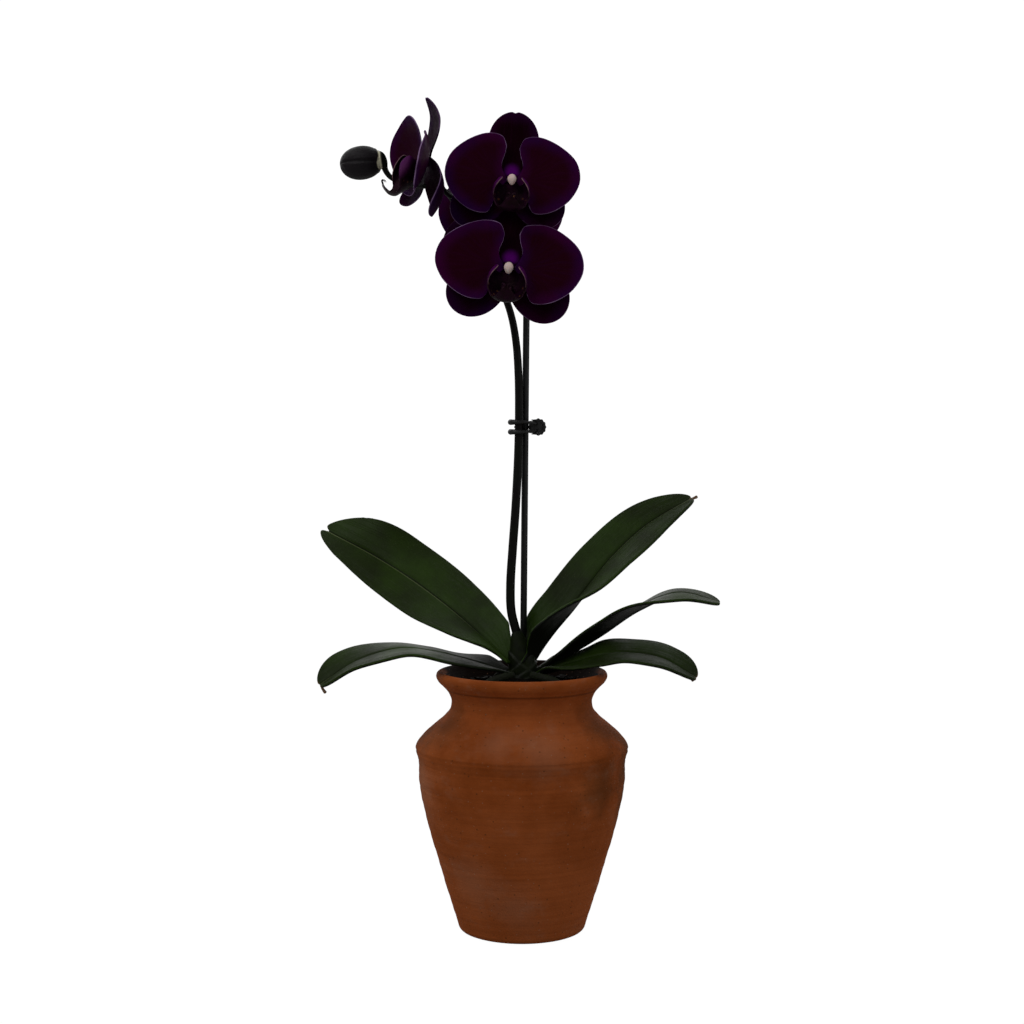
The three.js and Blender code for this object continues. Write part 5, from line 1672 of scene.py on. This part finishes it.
class ORCHID_OT_clip(OrchidOperator, bpy.types.Operator):
    """Make the support stake and the spring clip with its pin and spring"""

    bl_idname = "orchid.make_clip"
    bl_label = "Stake and clip"

    def build(self, scene):
        look = scene.orchid_clip
        plastic_material("Stake Coat", look.stake, (0.3, 0.45), 90.0)
        plastic_material("Clip Plastic", look.plastic, (0.25, 0.4), 160.0)
        steel_material(look)
        rod = tube([STAKE_FOOT, STAKE_TOP], [STAKE_RADIUS] * 2, 60, 28, dome=0.8)
        made_piece("support_stake", [rod], "Stake Coat")
        for jaw in JAWS:
            as_piece(jaw["name"], self.jaw(jaw), "Clip Plastic", jaw["body"])
        shank, head = PIN
        outline = [
            [head[0], -head[1]], [head[0], -shank[1]], [shank[0], -shank[1]],
            [shank[0], shank[1]], [head[0], shank[1]], [head[0], head[1]],
        ]
        pin = moved(turned(outline, 32), shift=HINGE)
        made_piece("clip_hinge_pin", [pin], "Steel", sharp_angle=40)
        spring = made_piece("clip_spring", [self.spring()], "Steel", body=None)
        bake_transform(spring)

    def jaw(self, jaw):
        """One half of the clip: its tab, bridge, knuckles and prongs joined, and then the bore cut out."""
        side = jaw["side"]
        angle = math.radians(TAB_ANGLE)
        along = [math.cos(angle), side * math.sin(angle), 0]
        out = [-math.sin(angle), side * math.cos(angle), 0]
        turn = np.array([along, out, [0, 0, 1]]).T
        parts = [moved(self.tab(), turn)]
        low = [BRIDGE["start"], TAB_OUT, -BRIDGE["half_height"]]
        high = [BRIDGE["end"], TAB_OUT + BRIDGE["thickness"], BRIDGE["half_height"]]
        parts.append(moved(block(low, high, BRIDGE["bevel"]), turn))
        for start, end in jaw["prongs"]:
            shares = np.linspace(0, 1, len(PRONG_PATH))
            heights = track([start, end, end, end], shares)
            path = [[x * jaw["reach"], -side * y, z] for (x, y), z in zip(PRONG_PATH, heights)]
            parts.append(tube(path, jaw["prong_radii"], 60, 18))
        bottoms = []
        for bottom, top in jaw["knuckles"]:
            parts.append(turned([[KNUCKLE_RADIUS, bottom], [KNUCKLE_RADIUS, top]], 36))
            neck = KNUCKLE_NECK
            low = [-neck["half_width"], neck["start"], bottom + neck["inset"]]
            high = [neck["half_width"], TAB_OUT + neck["sunk"], top - neck["inset"]]
            parts.append(moved(block(low, high, neck["bevel"]), turn))
            bottoms.append(bottom)
        meshes = [to_mesh("part", moved(merged([part]), shift=HINGE)) for part in parts]
        reach = 2 * max(abs(value) for value in bottoms) + 2
        bore = turned([[KNUCKLE_BORE, -reach], [KNUCKLE_BORE, reach]], 36)
        whole = combined(meshes[0], meshes[1:], "UNION")
        cut = combined(whole, [to_mesh("bore", moved(merged([bore]), shift=HINGE))], "DIFFERENCE")
        cut.shade_smooth()
        cut.set_sharp_from_angle(angle=math.radians(35))
        return cut

    def tab(self):
        """A thumb tab: a disc whose radius follows a cosine with one bump for each grip, with a rounded
        rim, a raised border and a dished middle. Its faces look along Y."""
        angle = circle(144)
        outer = TAB_RADIUS + TAB_BUMP * np.cos(TAB_BUMPS * angle)
        half = TAB_THICKNESS / 2
        dish = half - TAB_DISH
        rows = [[0.3, dish], [0.62, dish], [0.7, half - 0.05], [0.78, half], [0.94, half]]
        turn = np.linspace(np.pi / 2, -np.pi / 2, 7)
        edge = np.stack([0.95 + 0.05 * np.cos(turn), half * np.sin(turn)], -1)
        profile = np.vstack([rows, edge, [[r, -h] for r, h in rows[::-1]]])
        radius, height = profile[:, :1], profile[:, 1:]
        x, z = radius * outer * np.cos(angle), radius * outer * np.sin(angle)
        tab = wrap(np.stack([x, height + 0 * angle, z], -1))
        return moved(tab, shift=[TAB_ALONG, TAB_OUT + half, 0])

    def spring(self):
        """The spring's wire: a helix round the pin whose two ends run straight out along the tabs."""
        angle = math.radians(TAB_ANGLE)
        start = -np.pi / 2 - angle
        end = np.pi / 2 + angle + 2 * np.pi * (SPRING_TURNS - 0.5)
        share = np.linspace(0, 1, 60)
        turn = start + (end - start) * share
        coil = np.stack([
            SPRING_RADIUS * np.cos(turn), SPRING_RADIUS * np.sin(turn), SPRING_HALF_HEIGHT * (2 * share - 1),
        ], -1)
        legs = [
            coil[k] + SPRING_LEG * np.array([math.cos(angle), sign * math.sin(angle), 0])
            for k, sign in ((0, -1), (-1, 1))
        ]
        path = np.vstack([legs[0], coil, legs[1]]) + HINGE
        return tube(path, [SPRING_WIRE] * 2, 320, 10)


def block(low, high, bevel):
    """A box with bevelled edges, as rings from bottom to top. Each ring is the box's outline with its
    corners cut by the bevel, and the end rings are drawn in by the bevel."""
    low, high = np.asarray(low, float), np.asarray(high, float)
    rings = []
    for height, inset in ((low[2], bevel), (low[2] + bevel, 0), (high[2] - bevel, 0), (high[2], bevel)):
        x0, y0, x1, y1 = low[0] + inset, low[1] + inset, high[0] - inset, high[1] - inset
        b = bevel
        rings.append([
            [x0 + b, y0, height], [x1 - b, y0, height], [x1, y0 + b, height], [x1, y1 - b, height],
            [x1 - b, y1, height], [x0 + b, y1, height], [x0, y1 - b, height], [x0, y0 + b, height],
        ])
    return wrap(np.asarray(rings))


class ORCHID_OT_stage(OrchidOperator, bpy.types.Operator):
    """Make the floor, the soft lights, the pale surroundings and the camera"""

    bl_idname = "orchid.make_stage"
    bl_label = "Studio"

    def build(self, scene):
        look = scene.orchid_stage
        scene.view_settings.view_transform = "Standard"
        self.floor(look)
        self.surroundings(scene, look)
        for name, power in (("Key", look.key), ("Fill", look.fill)):
            self.light(name, power, *LIGHTS[name])
        self.camera(scene)

    def floor(self, look):
        """A wide flat disc just under the pot."""
        angle = circle(64)
        ring = np.stack([np.cos(angle), np.sin(angle), 0 * angle], -1) * STAGE_RADIUS - [0, 0, STAGE_DROP]
        centre = np.broadcast_to([0, 0, -STAGE_DROP], ring.shape)
        mesh = to_mesh("floor", patch(np.stack([centre, ring]), closed=True))
        floor = to_object("Floor", mesh)
        tree, shader = new_material("Floor", {"Specular IOR Level": 0.1, "Roughness": 0.9})
        shade = tree.ramp(tree.noise(tree.place(), 3.0), 0.3, 0.7, 0.0, 0.3)
        tree.feed(shader, "Base Color", tree.blend(shade, look.floor, look.dull_floor))
        camera_ray = tree.add("ShaderNodeLightPath").outputs["Is Camera Ray"]
        white = tree.add("ShaderNodeEmission", {"Color": WHITE, "Strength": 1.1})
        part_white = tree.math("MULTIPLY", camera_ray, 0.9)
        mixed = tree.add("ShaderNodeMixShader", {0: part_white, 1: shader.outputs[0], 2: white.outputs[0]})
        tree.feed(tree.tree.nodes["Material Output"], "Surface", mixed.outputs[0])
        mesh.materials.append(bpy.data.materials["Floor"])

    def surroundings(self, scene, look):
        """White where the camera sees it, and a soft grey light from above everywhere else."""
        world = bpy.data.worlds.new("Studio")
        scene.world = world
        world.use_nodes = True
        tree = Tree(world.node_tree)
        ray = tree.add("ShaderNodeSeparateXYZ", {0: tree.add("ShaderNodeTexCoord").outputs["Generated"]})
        grey = tree.ramp(ray.outputs["Z"], -0.3, 0.8, look.ambient * 0.3, look.ambient)
        behind = tree.ramp(ray.outputs["Y"], 0.1, 0.8, 0.0, look.backdrop)
        level = tree.ramp(ray.outputs["Z"], -0.25, 0.1)
        light = tree.math("MULTIPLY_ADD", behind, level, grey)
        camera_ray = tree.add("ShaderNodeLightPath").outputs["Is Camera Ray"]
        strength = tree.math("MAXIMUM", light, tree.math("MULTIPLY", camera_ray, 1.05))
        sky = world.node_tree.nodes["Background"]
        sky.inputs["Color"].default_value = WHITE
        tree.feed(sky, "Strength", strength)

    def light(self, name, power, place, size):
        """A square soft light that points at the middle of the plant. Place and size are in millimetres."""
        data = bpy.data.lights.new(name, "AREA")
        data.energy = power
        data.size = size * MM
        light = bpy.data.objects.new(name, data)
        bpy.context.scene.collection.objects.link(light)
        light.location = Vector(place) * MM
        aim = Vector(LIGHT_AIM) * MM - light.location
        light.rotation_euler = aim.to_track_quat("-Z", "Y").to_euler()

    def camera(self, scene):
        """The camera at the photograph's angle, from straight in front and looking slightly down."""
        data = bpy.data.cameras.new("Camera")
        data.lens = CAMERA_LENS
        data.sensor_width = SENSOR_WIDTH
        data.clip_end = 100
        camera = bpy.data.objects.new("Camera", data)
        scene.collection.objects.link(camera)
        camera.location = Vector(CAMERA_AT) * MM
        camera.rotation_euler = (math.radians(90 - CAMERA_PITCH), 0, 0)
        scene.camera = camera


OPERATORS = (
    ORCHID_OT_groups, ORCHID_OT_pot, ORCHID_OT_mix, ORCHID_OT_crown, ORCHID_OT_leaves, ORCHID_OT_roots,
    ORCHID_OT_spike, ORCHID_OT_flowers, ORCHID_OT_bud, ORCHID_OT_clip, ORCHID_OT_stage,
)
SETTINGS = {
    "orchid_pot": PotSettings, "orchid_mix": MixSettings, "orchid_leaf": LeafSettings,
    "orchid_stem": StemSettings, "orchid_flower": FlowerSettings, "orchid_bud": BudSettings,
    "orchid_clip": ClipSettings, "orchid_stage": StageSettings,
}


class ORCHID_PT_panel(bpy.types.Panel):
    """Lists the steps, in order, and the settings"""

    bl_idname = "ORCHID_PT_panel"
    bl_label = "Potted Moth Orchid"
    bl_space_type = "VIEW_3D"
    bl_region_type = "UI"
    bl_category = "Orchid"

    def draw(self, context):
        for operator in OPERATORS:
            self.layout.operator(operator.bl_idname)
        for attribute in SETTINGS:
            group = getattr(context.scene, attribute)
            box = self.layout.box()
            for key in type(group).__annotations__:
                box.prop(group, key)


def register():
    for kind in (*SETTINGS.values(), *OPERATORS, ORCHID_PT_panel):
        bpy.utils.register_class(kind)
    for attribute, kind in SETTINGS.items():
        setattr(bpy.types.Scene, attribute, PointerProperty(type=kind))


def unregister():
    for attribute in SETTINGS:
        delattr(bpy.types.Scene, attribute)
    for kind in (ORCHID_PT_panel, *reversed(OPERATORS), *reversed(SETTINGS.values())):
        bpy.utils.unregister_class(kind)


def main():
    register()
    for operator in OPERATORS:
        group, name = operator.bl_idname.split(".")
        getattr(getattr(bpy.ops, group), name)()


if __name__ == "__main__":
    main()
